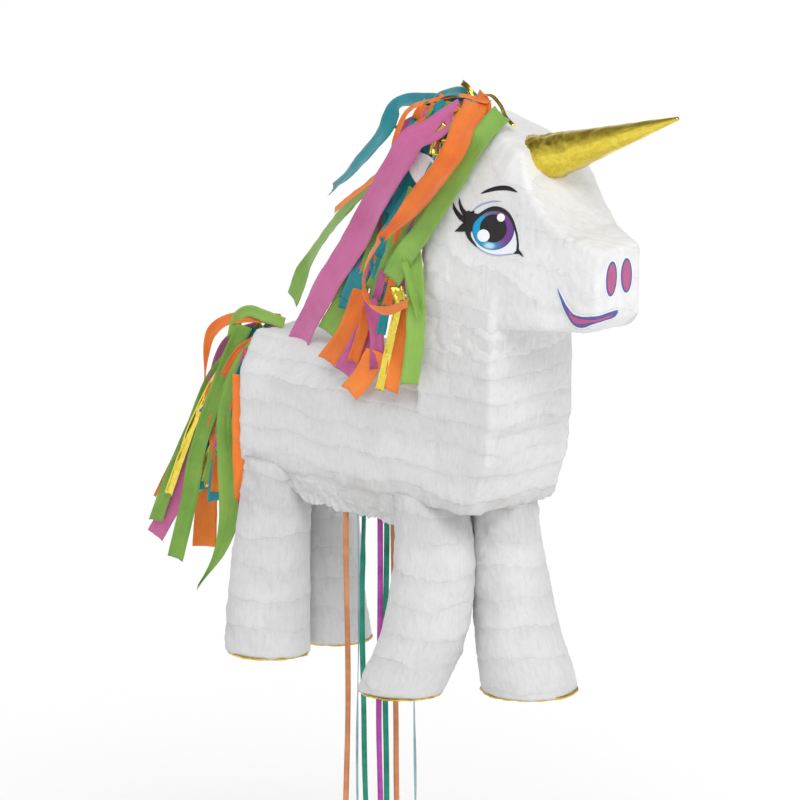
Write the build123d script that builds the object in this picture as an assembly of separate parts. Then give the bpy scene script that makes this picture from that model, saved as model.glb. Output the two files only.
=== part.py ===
from build123d import *
import math
import os

# A pull-ribbon unicorn pinata: a hollow body of cardboard boards under a glued skin of white
# crepe paper, on four card-tube legs, with foil soles, a foil horn, printed paper face pieces,
# a tissue mane and tail, and pull ribbons that hang below a release flap in the belly.
# It is drawn with +X forwards, +Y to its own left and the lowest sole near Z = 0, and every
# node is moved at the end so that the centre of the hang hole is the origin. Millimetres.

os.makedirs("parts", exist_ok=True)

# ---- driving dimensions -------------------------------------------------------------------
BOARD = 2.0            # corrugated cardboard
SKIN = 1.0             # glued crepe paper over the cardboard
PAPER = 0.6            # a printed paper piece
GAP = 0.3              # clearance between pieces that move against each other

REAR_X = -145.0        # rump
NECK_X = 104.0         # rear corner of the neck and chest column
CHEST_X = 151.0        # front of the chest and neck
BREAST_X = 132.0       # the breast slopes back to here at the belly
BREAST_Z = 206.0
HALF_WIDTH = 48.0      # half the width of the body
BELLY_Z = 165.0        # underside of the body
CREASE_Z = 241.0       # fold between the upright side and the sloping shoulder board
BACK_Z = 273.0         # flat top of the back
BACK_HALF = 28.0       # half the width of the flat top
NAPE_X = 70.0          # back of the neck
NAPE_HALF = 47.0
COLUMN_TOP = 338.0     # the neck runs up into the head, which trims it
NAPE_TOP = 352.0

HANG_X = 50.0          # hang hole: over the back, close to the centre of mass
HANG_RISE = 16.0       # height of the hole over the back
HANG_RADIUS = 4.0
TAB_THICK = 3.0

FLAP_REAR = -70.0      # release flap: hinge line
FLAP_LENGTH = 62.0
FLAP_WIDTH = 56.0
FLAP_MARGIN = 6.0      # how far the flap covers the edge of its hole

DOOR_X = -30.0         # fill door in the left side board
DOOR_WIDTH = 50.0
DOOR_TOP = 232.0
DOOR_HEIGHT = 42.0
DOOR_MARGIN = 5.0

RIBBON_WIDTH = 4.8
RIBBON_THICK = 1.0
RIBBON_LENGTH = 450.0  # free length below the belly
RIBBON_STUB = 45.0     # what a decoy ribbon keeps inside the belly

HANG_Z = BACK_Z + HANG_RISE


def save(name, shape):
    """Move a sub-part into the hang hole's frame and write its STEP."""
    placed = Location((-HANG_X, 0, -HANG_Z)) * shape
    solids = placed.solids()
    body = solids[0] if len(solids) == 1 else Compound(children=solids)
    body.label = name
    export_step(body, f"parts/{name}.step")


def block(x, y, z):
    """A box from three (low, high) pairs."""
    lo, hi = Vector(x[0], y[0], z[0]), Vector(x[1], y[1], z[1])
    return Pos(*((lo + hi) / 2)) * Box(*(hi - lo))


def outline(points, plane, inset):
    """A closed outline on a plane, moved inwards by inset."""
    face = plane * make_face(Polyline(*points, close=True))
    return offset(face, amount=-inset, kind=Kind.INTERSECTION) if inset else face


def mirrored(half):
    """Complete a list of (place, half width) points to a closed outline about zero."""
    return list(half) + [(place, -width) for place, width in reversed(half)]


# ---- body and neck ------------------------------------------------------------------------
TORSO_SECTION = [(HALF_WIDTH, BELLY_Z), (HALF_WIDTH, CREASE_Z), (BACK_HALF, BACK_Z),
                 (-BACK_HALF, BACK_Z), (-HALF_WIDTH, CREASE_Z), (-HALF_WIDTH, BELLY_Z)]


def torso_solid(inset):
    """The rear part of the body, open at NECK_X, as a solid prism."""
    section = outline(TORSO_SECTION, Plane.YZ, inset)
    return Pos(REAR_X + inset, 0, 0) * extrude(section, NECK_X - REAR_X - inset)


def column_solid(inset):
    """The chest and neck column in front of NECK_X as a solid, its breast cut back below."""
    profile = [(0, BELLY_Z), (BREAST_X, BELLY_Z), (CHEST_X - 2, BREAST_Z), (CHEST_X, COLUMN_TOP),
               (0, COLUMN_TOP)]
    block_width = 2 * (HALF_WIDTH - inset)
    pushed = Pos(0, block_width / 2, 0) * extrude(outline(profile, Plane.XZ, inset), block_width)
    return pushed & block((NECK_X, CHEST_X), (-HALF_WIDTH, HALF_WIDTH), (0, COLUMN_TOP))


def nape_solid(inset):
    """The wedge that closes the neck behind the column, above the back."""
    plan = mirrored([(NAPE_X, NAPE_HALF), (NECK_X, HALF_WIDTH), (CHEST_X, HALF_WIDTH)])
    wedge = Pos(0, 0, CREASE_Z) * extrude(outline(plan, Plane.XY, inset), NAPE_TOP - CREASE_Z)
    return wedge & block((0, NECK_X), (-HALF_WIDTH, HALF_WIDTH), (0, NAPE_TOP))


# ---- head ---------------------------------------------------------------------------------
CRANIUM_PROFILE = [(77, 347), (116, 328), (216, 338), (214, 428), (172, 484), (110, 501), (84, 490),
                   (68, 430)]
MUZZLE_PROFILE = [(180, 334), (246, 342), (258, 358), (260, 410), (228, 420), (200, 443), (180, 460)]
HEAD_PLAN = mirrored([(64, 40), (82, 49), (185, 41), (262, 24)])
HEAD_FRONT = [(-36, 326), (-49, 352), (-49, 436), (-20, 503), (20, 503), (49, 436), (49, 352), (36, 326)]


def three_way(profile, inset):
    """The side, top and front outlines, each pushed through and intersected."""
    side = Pos(0, 100, 0) * extrude(outline(profile, Plane.XZ, inset), 200)
    plan = Pos(0, 0, 300) * extrude(outline(HEAD_PLAN, Plane.XY, inset), 250)
    front = extrude(outline(HEAD_FRONT, Plane.YZ, inset), 300)
    return side & plan & front


def cranium_solid(inset):
    """The main part of the head."""
    return three_way(CRANIUM_PROFILE, inset)


def muzzle_solid(inset):
    """The muzzle, reaching back into the head."""
    return three_way(MUZZLE_PROFILE, inset)


def head_solid(inset):
    """Head and muzzle together."""
    return cranium_solid(inset) + muzzle_solid(inset)


def peel(solid, groups, thickness=BOARD):
    """Cut flat boards off a convex solid: one node for each named group of outward directions."""
    boards = {}
    for name, directions in groups.items():
        for direction in directions:
            aim = Vector(*direction).normalized()
            face = max(solid.faces(), key=lambda f: f.normal_at().dot(aim))
            normal = face.normal_at()
            slab = Plane(face.center() - normal * thickness, z_dir=normal) * (
                Pos(0, 0, 50) * Box(900, 900, 100))
            piece = solid & slab
            boards[name] = boards[name] + piece if name in boards else piece
            solid = solid - slab
    return boards


# ---- holes through the skin and boards ----------------------------------------------------
BELLY_IN = BELLY_Z + SKIN + BOARD
SLITS = {                                  # decoy ribbon: where it comes through the belly
    "ribbon_orange_rear": (-28.0, -37.0),
    "ribbon_blue_rear": (-15.0, -36.0),
    "ribbon_green_front": (-50.0, 34.0),
    "ribbon_purple": (-2.0, -22.0),
    "ribbon_orange_front": (0.0, -9.0),
    "ribbon_blue_front": (3.0, 12.0),
}
TRIGGER = (-40.0, -2.0)                    # the one ribbon that is fixed to the flap

release_hole = block((FLAP_REAR + FLAP_MARGIN, FLAP_REAR + FLAP_LENGTH - FLAP_MARGIN),
                     (FLAP_MARGIN - FLAP_WIDTH / 2, FLAP_WIDTH / 2 - FLAP_MARGIN),
                     (BELLY_Z - 1, BELLY_IN + 1))
door_hole = block((DOOR_X - DOOR_WIDTH / 2, DOOR_X + DOOR_WIDTH / 2),
                  (HALF_WIDTH - SKIN - BOARD - 1, HALF_WIDTH + 1),
                  (DOOR_TOP - DOOR_HEIGHT, DOOR_TOP))
slit_cuts = [Pos(x, y, BELLY_Z) * Box(RIBBON_THICK + 2 * GAP, RIBBON_WIDTH + 2 * GAP, 20)
             for x, y in SLITS.values()]
tab_slot = Pos(HANG_X, 0, BACK_Z) * Box(34, TAB_THICK, 20)
openings = [release_hole, door_hole, tab_slot] + slit_cuts

# ---- cardboard body -----------------------------------------------------------------------
head_outer = head_solid(0)
body_outer = torso_solid(0) + column_solid(0) + nape_solid(0)
body_inner = torso_solid(SKIN) + column_solid(SKIN) + nape_solid(SKIN)

boards = peel(torso_solid(SKIN), {
    "torso_side_right": [(0, -1, 0), (0, -0.85, 0.53)],
    "torso_side_left": [(0, 1, 0), (0, 0.85, 0.53)],
    "back_board": [(0, 0, 1)],
    "belly_board": [(0, 0, -1)],
    "rump_board": [(-1, 0, 0)],
})
column_boards = peel(column_solid(SKIN), {
    "chest_side_right": [(0, -1, 0)],
    "chest_side_left": [(0, 1, 0)],
    "chest_front": [(1, 0, 0), (0.92, 0, -0.38)],
    "chest_floor": [(0, 0, -1)],
})
boards["belly_board"] += column_boards.pop("chest_floor")
boards.update(column_boards)
boards["nape_board"] = nape_solid(SKIN) - nape_solid(SKIN + BOARD) - torso_solid(0)
for name, board in boards.items():
    for hole in openings:
        board = board - hole
    save(name, board - head_outer)

body_skin = body_outer - body_inner - head_outer
for hole in openings:
    body_skin = body_skin - hole
save("body_skin", body_skin)

# ---- cardboard head -----------------------------------------------------------------------
cheek = [(0.08, 1, 0), (0.22, 0.98, 0), (0, 0.92, 0.4), (0, 0.89, -0.45), (-0.45, 0.89, 0)]
head_boards = peel(cranium_solid(SKIN), {
    "head_cheek_right": [(x, -y, z) for x, y, z in cheek],
    "head_cheek_left": cheek,
    "head_top": [(0.8, 0, 0.6), (0.27, 0, 0.96), (-0.39, 0, 0.92)],
    "head_jaw": [(0.11, 0, -0.99)],
    "head_back": [(-0.99, 0, -0.11), (-0.97, 0, 0.26), (-0.44, 0, -0.9)],
})
muzzle_boards = peel(muzzle_solid(SKIN), {
    "nose_board": [(1, 0, 0), (0.8, 0, -0.6)],
    "muzzle_sleeve": [(0.22, 0.98, 0), (0.22, -0.98, 0), (0.3, 0, 0.95), (0.63, 0, 0.77), (0.12, 0, -0.99)],
})
for name, board in head_boards.items():
    save(name, board)
for name, board in muzzle_boards.items():
    save(name, board - cranium_solid(SKIN))
save("head_skin", head_outer - head_solid(SKIN))

# ---- legs and soles -----------------------------------------------------------------------
LEG_WALL = BOARD + SKIN
SOLE_THICK = 1.5
LEGS = {                                   # (x, y, z, radius) at the top, the knee and the foot
    "rear_right": [(-117, -28, BELLY_Z, 27), (-119, -35, 82, 32), (-120, -38, 0, 35)],
    "rear_left": [(-115, 29, BELLY_Z, 27), (-118, 31, 82, 29), (-115, 35, 0, 33)],
    "front_right": [(58, -22, BELLY_Z, 30), (73, -32, 98, 33.5), (41, -39, -6, 35.5)],
    "front_left": [(104, 21, BELLY_Z, 27), (106, 28, 84, 34), (121, 35, -4, 41)],
}


def limb(stations, inset):
    """A straight-sided tube through round sections, as a solid."""
    return loft([Pos(x, y, z) * Circle(r - inset) for x, y, z, r in stations], ruled=True)


for name, stations in LEGS.items():
    save(f"leg_{name}", limb(stations, 0) - limb(stations, LEG_WALL))
    foot_x, foot_y, foot_z, foot_r = stations[-1]
    save(f"sole_{name}", Pos(foot_x, foot_y, foot_z - SOLE_THICK / 2) * Cylinder(foot_r + 1, SOLE_THICK))

# ---- horn ---------------------------------------------------------------------------------
HORN_BASE = Vector(174, 0, 474)
HORN_TIP = Vector(331, 0, 535.5)
HORN_RADIUS = 19.8
HORN_ROOT = 14.0                           # how far the cone starts inside the forehead
FOIL = 0.5
CARD = 1.0

horn_axis = (HORN_TIP - HORN_BASE).normalized()
horn_length = (HORN_TIP - HORN_BASE).length + HORN_ROOT
horn_plane = Plane(HORN_BASE - horn_axis * HORN_ROOT, x_dir=(0, 1, 0), z_dir=horn_axis)


def horn_cone(inset):
    """The horn as a solid cone, its surface moved inwards."""
    root = HORN_RADIUS * horn_length / (horn_length - HORN_ROOT) - inset
    return horn_plane * Cone(root, max(1.6 - inset, 0.05), horn_length - 2 * inset,
                             align=(Align.CENTER, Align.CENTER, Align.MIN))


save("horn_foil", horn_cone(0) - horn_cone(FOIL) - head_outer)
save("horn_cone", horn_cone(FOIL) - horn_cone(FOIL + CARD) - head_outer)

# ---- ears ---------------------------------------------------------------------------------
EAR_THICK = 1.2
EAR_SHAPE = [(-8, -8), (30, -13), (52, 0), (30, 13), (-8, 8)]
for side, turn in (("right", -1), ("left", 1)):
    root = Vector(84, 39 * turn, 452)
    along = Vector(-0.74, 0.38 * turn, 0.55).normalized()
    normal = along.cross(Vector(0.2, 0, 1)).normalized()
    ear_plane = Plane(root, x_dir=along, z_dir=normal)
    save(f"ear_{side}", extrude(ear_plane * make_face(Polyline(*EAR_SHAPE, close=True)), EAR_THICK)
         - head_outer)

# ---- printed paper face pieces ------------------------------------------------------------
EYE = (155.0, 417.0)                       # x, z of the middle of the iris
paper_layer = head_solid(-PAPER) - head_outer


def face_piece(points, side, smooth=False):
    """A paper piece glued to the head: an outline in x and z, pushed through from one side."""
    edge = Spline(*points, periodic=True) if smooth else Polyline(*points, close=True)
    stamp = extrude(Plane.XZ * make_face(edge), 100 * side)
    return paper_layer & stamp


def about_eye(points):
    """Place points given from the middle of the iris."""
    return [(EYE[0] + x, EYE[1] + z) for x, z in points]


EYE_SHAPE = about_eye([(-27, -8), (-22, 14), (0, 22), (20, 14), (31, -17), (10, -23), (-14, -22)])
LASH_SHAPE = about_eye([(-30, -2), (-44, 8), (-36, 9), (-42, 19), (-32, 15), (-32, 26), (-26, 17)])
BROW_SHAPE = about_eye([(-13, 35), (0, 42), (28, 43), (2, 38)])
for side, turn in (("right", 1), ("left", -1)):
    save(f"eye_{side}", face_piece(EYE_SHAPE, turn, smooth=True))
    save(f"lash_{side}", face_piece(LASH_SHAPE, turn))
    save(f"brow_{side}", face_piece(BROW_SHAPE, turn))

NOSTRIL_Z = 386.0
NOSTRIL_Y = 9.0
nose_holes = [Pos(200, y, NOSTRIL_Z) * Rot(0, 90, 0) * Ellipse(15, 6.5) for y in (-NOSTRIL_Y, NOSTRIL_Y)]
save("nostrils", Compound(children=[s for e in nose_holes for s in (paper_layer & extrude(e, 100)).solids()]))

SMILE = [(222, 378), (228, 360), (236, 346), (246, 339), (262, 346), (262, 360), (248, 352), (239, 357),
         (231, 366)]
smile_stamp = Pos(0, 60, 0) * extrude(Plane.XZ * make_face(Polyline(*SMILE, close=True)), 120)
save("mouth", paper_layer & smile_stamp)

# ---- release flap and its tape ------------------------------------------------------------
FLAP_TOP = BELLY_Z - GAP
FLAP_BOTTOM = FLAP_TOP - BOARD
TAPE_THICK = 0.4
TRIGGER_DROP = 1.0                         # below the tape, room for the ribbon to stay plumb
save("release_flap", block((FLAP_REAR, FLAP_REAR + FLAP_LENGTH), (-FLAP_WIDTH / 2, FLAP_WIDTH / 2),
                           (FLAP_BOTTOM, FLAP_TOP)))
save("trigger_tape", block((TRIGGER[0] - 11, TRIGGER[0] + 11), (TRIGGER[1] - 8, TRIGGER[1] + 8),
                           (FLAP_BOTTOM - TAPE_THICK, FLAP_BOTTOM)))

# ---- fill door ----------------------------------------------------------------------------
save("fill_door", block((DOOR_X - DOOR_WIDTH / 2 - DOOR_MARGIN, DOOR_X + DOOR_WIDTH / 2 + DOOR_MARGIN),
                        (HALF_WIDTH + GAP, HALF_WIDTH + GAP + BOARD),
                        (DOOR_TOP - DOOR_HEIGHT - DOOR_MARGIN, DOOR_TOP + DOOR_MARGIN)))

# ---- hang tab and the board that spreads its load ------------------------------------------
tab_root = BACK_Z - SKIN - BOARD
tab_top = BACK_Z + HANG_RISE + 12
tab = block((HANG_X - 17, HANG_X + 17), (-TAB_THICK / 2, TAB_THICK / 2), (tab_root, tab_top))
tab -= Pos(HANG_X, 0, HANG_Z) * Rot(90, 0, 0) * Cylinder(HANG_RADIUS, 20)
save("hang_tab", tab)
save("hang_tab_plate", block((HANG_X - 28, HANG_X + 28), (-24, 24), (tab_root - BOARD, tab_root)))

# ---- mane and tail of tissue and foil streamers --------------------------------------------
STREAMER_THICK = 1.0
STREAMERS = {                              # width, direction across the strip, route
    "mane_teal": [
        (16, (0.5, 0.6, 0.6), [(75, -2, 509), (5, -6, 497), (-20, -10, 470), (-47, -14, 435),
                                (-66, -15, 408)]),
        (16, (0.6, 0.5, 0.5), [(34, -8, 458), (9, -15, 413), (-11, -19, 357), (-37, -20, 318)])],
    "mane_orange": [
        (6, (0.5, 0.6, 0.6), [(96, -6, 514), (55, -14, 507), (27, -21, 480), (2, -25, 450),
                                (-56, -27, 399)]),
        (22, (0.7, 0.6, 0.4), [(118, -14, 507), (102, -30, 494), (102, -57, 457), (77, -64, 420),
                               (45, -66, 394), (16, -62, 365), (11, -56, 338)]),
        (16, (0.7, 0.7, 0.2), [(17, -48, 333), (-9, -53, 302), (-37, -55, 276)]),
        (15, (0.7, 0.7, 0.0), [(50, -58, 340), (38, -61, 298), (17, -63, 252)])],
    "mane_pink": [
        (24, (0.6, 0.6, 0.5), [(80, -14, 499), (54, -24, 482), (29, -33, 458), (2, -37, 412),
                                (-36, -35, 360),
                               (-81, -31, 310), (-110, -24, 284)]),
        (14, (0.7, 0.7, 0.1), [(34, -53, 337), (14, -57, 302), (-4, -59, 270)])],
    "mane_green": [
        (20, (0.7, 0.6, 0.3), [(138, -14, 505), (124, -28, 494), (122, -58, 462), (103, -69, 427),
                               (80, -73, 395), (60, -74, 352)]),
        (16, (0.6, 0.5, 0.6), [(14, -2, 459), (-33, -4, 421), (-65, -7, 388), (-92, -7, 354),
                                (-128, -5, 300)]),
        (14, (0.7, 0.7, 0.0), [(79, -74, 345), (84, -75, 313), (82, -76, 274)])],
    "mane_gold": [
        (8, (0.7, 0.7, 0.0), [(62, -65, 341), (57, -67, 303), (44, -69, 261)]),
        (8, (0.7, 0.4, 0.5), [(96, -14, 514), (62, -34, 500), (54, -46, 470), (44, -50, 420)])],
    "tail_green": [
        (17, (0.7, 0.7, 0.2), [(-147, -14, 277), (-174, -22, 256), (-193, -30, 204),
                                (-214, -33, 130), (-239, -35, 58)]),
        (20, (0.7, 0.7, 0.2), [(-147, -26, 268), (-158, -38, 240), (-164, -46, 196), (-166, -48, 144),
                               (-178, -46, 80), (-203, -44, 41)])],
    "tail_orange": [
        (9, (0.6, 0.6, 0.5), [(-147, -4, 284), (-175, -8, 282), (-207, -12, 262),
                                (-219, -15, 234), (-221, -17, 212)]),
        (16, (0.7, 0.7, 0.2), [(-147, 19, 262), (-200, 19, 221), (-222, 14, 148), (-247, 10, 61)]),
        (12, (0.7, 0.7, 0.0), [(-147, -36, 262), (-153, -52, 235), (-155, -58, 165), (-157, -58, 94)])],
    "tail_teal": [
        (15, (0.7, 0.7, 0.2), [(-147, -4, 268), (-189, -11, 243), (-208, -18, 181), (-225, -20, 119)])],
    "tail_gold": [
        (7, (0.7, 0.7, 0.2), [(-147, 5, 268), (-212, 0, 239), (-244, -6, 173), (-273, -8, 103)])],
    "tail_pink": [
        (14, (0.7, 0.7, 0.2), [(-147, 12, 262), (-209, 10, 230), (-241, 5, 163), (-270, 3, 101),
                                (-297, 1, 63)])],
}


def streamer(width, across, route):
    """A thin strip lofted along a route, its width held near one direction."""
    points = [Vector(*p) for p in route]
    sections = []
    for i, point in enumerate(points):
        along = points[min(i + 1, len(points) - 1)] - points[max(i - 1, 0)]
        side = Vector(*across) - along.normalized() * Vector(*across).dot(along.normalized())
        sections.append(Plane(point, x_dir=side, z_dir=along) * Rectangle(width, STREAMER_THICK))
    return loft(sections, ruled=True)


SCRAP = 60.0                               # a trimmed end smaller than this, in mm3, is dropped
made = []
keep_clear = [head_solid(-PAPER), body_outer]
for name, strips in STREAMERS.items():
    solids = []
    for width, across, route in strips:
        strip = streamer(width, across, route)
        for other in keep_clear + made:
            strip = strip - other
        made.append(strip)
        solids += [s for s in strip.solids() if s.volume > SCRAP]
    save(name, Compound(children=solids))

# ---- pull ribbons -------------------------------------------------------------------------
BOTTOM_Z = BELLY_Z - RIBBON_LENGTH
DRIFT = {                                  # how each ribbon wanders from the plumb line, x and y
    "ribbon_green_trigger": [(0.0, 0.0), (-0.9, -1.6), (-1.7, -2.6), (-0.4, -1.4),
        (-1.6, 0.6), (0.8, 1.4), (-0.5, 0.2), (0.6, -1.0)],
    "ribbon_orange_rear": [(0.0, 0.0), (-0.9, 0.8), (0.6, 1.6), (1.9, 0.7),
        (0.9, -0.6), (-0.4, -1.5), (0.7, -0.4), (1.9, 0.9)],
    "ribbon_blue_rear": [(0.0, 0.0), (0.8, 0.7), (1.7, -0.3), (0.6, -1.1),
        (-0.5, -0.3), (0.4, 0.9), (1.4, 0.2), (0.3, -0.8)],
    "ribbon_green_front": [(0.0, 0.0), (-0.7, 0.9), (-1.7, 0.1), (-1.0, -1.1),
        (0.2, -0.5), (-0.6, 0.7), (-1.6, 0.0), (-0.9, -1.2)],
    "ribbon_purple": [(0.0, 0.0), (1.0, -0.6), (1.6, -1.8), (0.4, -2.4),
        (1.3, -1.2), (2.2, -0.2), (1.1, 0.6), (2.0, 1.6)],
    "ribbon_orange_front": [(0.0, 0.0), (0.9, 0.8), (2.1, 0.2), (3.0, 1.2),
        (2.2, 2.2), (3.3, 2.8), (4.2, 1.9), (3.4, 0.9)],
    "ribbon_blue_front": [(0.0, 0.0), (0.7, -0.8), (1.6, 0.1), (0.8, 1.1),
        (1.7, 1.9), (0.9, 2.9), (1.9, 3.6), (1.0, 4.4)],
}


def ribbon_solid(name, x, y, top):
    """A flat ribbon along straight runs joined by the largest tangent arcs."""
    drift = DRIFT[name]
    step = (top - BOTTOM_Z) / (len(drift) - 1)
    route = [Vector(x + dx, y + dy, top - i * step) for i, (dx, dy) in enumerate(drift)]
    radii = []
    for before, here, after in zip(route, route[1:], route[2:]):
        turn = math.radians((here - before).get_angle(after - here))
        shorter = min((here - before).length, (after - here).length)
        radii.append(0.45 * shorter / math.tan(turn / 2))
    path = FilletPolyline(*route, radius=radii)
    start = Plane(route[0], x_dir=(0, 1, 0), z_dir=path % 0)
    solid = sweep(start * Rectangle(RIBBON_WIDTH, RIBBON_THICK), path)
    expected = RIBBON_WIDTH * RIBBON_THICK * path.length
    print(f"{name}: length {path.length:.0f}, radii {min(radii):.0f} to {max(radii):.0f}, "
          f"volume ratio {solid.volume / expected:.3f}")
    return solid


save("ribbon_green_trigger", ribbon_solid("ribbon_green_trigger", *TRIGGER,
                                           FLAP_BOTTOM - TAPE_THICK - TRIGGER_DROP))
for name, (x, y) in SLITS.items():
    straight = block((x - RIBBON_THICK / 2, x + RIBBON_THICK / 2),
                     (y - RIBBON_WIDTH / 2, y + RIBBON_WIDTH / 2), (BELLY_Z - 20, BELLY_Z + RIBBON_STUB))
    save(name, ribbon_solid(name, x, y, BELLY_Z - 20) + straight)
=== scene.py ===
"""Looks for a pull-ribbon unicorn pinata: crepe-papered body, head and legs, foil horn and soles,
printed face stickers, a tissue mane and tail, and pull ribbons under a release flap.

Sizes in the tables are millimetres from the ground point between the feet, +X forwards, +Y to the
animal's left. The function at() moves them to the shared frame, metres from the hang hole.
"""

import logging
import math
import random
from dataclasses import dataclass, field
from enum import Enum
from typing import Callable, Iterable, Sequence

import bmesh
import bpy
import numpy as np
from mathutils import Matrix, Vector, noise
from mathutils.bvhtree import BVHTree


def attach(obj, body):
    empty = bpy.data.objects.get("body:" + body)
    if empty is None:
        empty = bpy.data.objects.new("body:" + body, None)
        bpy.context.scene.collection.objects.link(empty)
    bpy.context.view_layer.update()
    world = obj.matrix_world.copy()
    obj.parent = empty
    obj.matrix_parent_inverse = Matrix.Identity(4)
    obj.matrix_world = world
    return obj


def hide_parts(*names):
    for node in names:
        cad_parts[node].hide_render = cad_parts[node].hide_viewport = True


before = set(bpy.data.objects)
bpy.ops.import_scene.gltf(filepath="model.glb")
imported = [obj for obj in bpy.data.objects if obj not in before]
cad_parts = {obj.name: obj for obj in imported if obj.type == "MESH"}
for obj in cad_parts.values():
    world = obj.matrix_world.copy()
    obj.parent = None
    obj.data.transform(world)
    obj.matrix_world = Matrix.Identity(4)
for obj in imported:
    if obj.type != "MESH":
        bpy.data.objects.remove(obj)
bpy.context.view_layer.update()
log = logging.getLogger("pinata")

MM = 0.001
HANG_HOLE = Vector((50.0, 0.0, 289.0))
RIGHT, LEFT = -1, 1

Triple = tuple[float, float, float]
Pair = tuple[float, float]
Chart = Callable[[Vector, Vector], tuple[float, float, float, float]]


def at(x: float, y: float, z: float) -> Vector:
    """Returns a place drawn in millimetres from the feet, in metres from the hang hole."""
    return (Vector((x, y, z)) - HANG_HOLE) * MM


def drawn(place: Vector) -> Vector:
    """Returns a place in the shared frame as millimetres from the feet."""
    return place / MM + HANG_HOLE


def blend01(value: float, low: float, high: float) -> float:
    """Returns a smooth 0 to 1 step as value goes from low to high."""
    t = min(max((value - low) / (high - low), 0.0), 1.0)
    return t * t * (3 - 2 * t)


def waver(x: float, y: float, z: float) -> float:
    """Returns smooth noise of about -1 to 1 at three values."""
    return noise.noise(Vector((x, y, z)))


def on_curve(a: Vector, b: Vector, c: Vector, d: Vector, t: float) -> Vector:
    """Returns the place at a share t from b to c on the smooth curve through four points."""
    return 0.5 * (2 * b + (c - a) * t + (2 * a - 5 * b + 4 * c - d) * t * t
                  + (3 * b - a - 3 * c + d) * t * t * t)


# ---- finishes -------------------------------------------------------------------------------
class Graph:
    """A node tree with short calls for adding and wiring its nodes."""

    def __init__(self, tree: bpy.types.NodeTree) -> None:
        """Wraps a tree, and empties it."""
        self.tree = tree
        tree.nodes.clear()

    def feed(self, socket: bpy.types.NodeSocket, value: object) -> None:
        """Links an output to a socket, or sets the socket's own value."""
        if isinstance(value, bpy.types.NodeSocket):
            self.tree.links.new(value, socket)
        else:
            socket.default_value = value

    def add(self, kind: str, sockets: dict | None = None, **settings: object) -> bpy.types.Node:
        """Adds one shader node.

        Args:
            kind: the node type without its ShaderNode prefix.
            sockets: input names or numbers, with values or outputs to link.
            settings: properties of the node itself.

        Returns:
            The node.
        """
        node = self.tree.nodes.new("ShaderNode" + kind)
        for name, value in settings.items():
            setattr(node, name, value)
        for name, value in (sockets or {}).items():
            self.feed(node.inputs[name], value)
        return node

    def math(self, operation: str, *values: object) -> bpy.types.NodeSocket:
        """Returns the output of a Math node with these inputs."""
        return self.add("Math", dict(enumerate(values)), operation=operation).outputs[0]

    def plus(self, *values: object) -> bpy.types.NodeSocket:
        """Returns the sum of two values."""
        return self.math("ADD", *values)

    def times(self, *values: object) -> bpy.types.NodeSocket:
        """Returns the product of two values."""
        return self.math("MULTIPLY", *values)

    def step(self, value: object, low: float, high: float) -> bpy.types.NodeSocket:
        """Returns a smooth 0 to 1 mask as value goes from low to high."""
        return self.add("MapRange", {"Value": value, "From Min": low, "From Max": high},
                        interpolation_type="SMOOTHSTEP").outputs[0]

    def mix(self, factor: object, low: object, high: object) -> bpy.types.NodeSocket:
        """Returns a colour between two colours."""
        return self.add("Mix", {0: factor, 6: low, 7: high}, data_type="RGBA").outputs[2]

    def noise(self, vector: object, scale: float, detail: float = 3.0,
              rough: float = 0.55) -> bpy.types.NodeSocket:
        """Returns the value of a Noise node on a vector."""
        return self.add("TexNoise", {"Vector": vector, "Scale": scale, "Detail": detail,
                                     "Roughness": rough}).outputs[0]

    def vector(self, x: object, y: object, z: object = 0.0) -> bpy.types.NodeSocket:
        """Returns a vector put together from three values."""
        return self.add("CombineXYZ", {0: x, 1: y, 2: z}).outputs[0]


class Pattern(Enum):
    """The shared surface patterns. Each is one node group that gives colour, roughness and height."""

    CREPE = "crepe_laps"
    TISSUE = "tissue_grain"
    FOIL = "foil_crinkle"
    SATIN = "satin_ribs"
    CARD = "card_fibre"
    PRINT = "printed_ink"
    IRIS = "iris_print"


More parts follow.
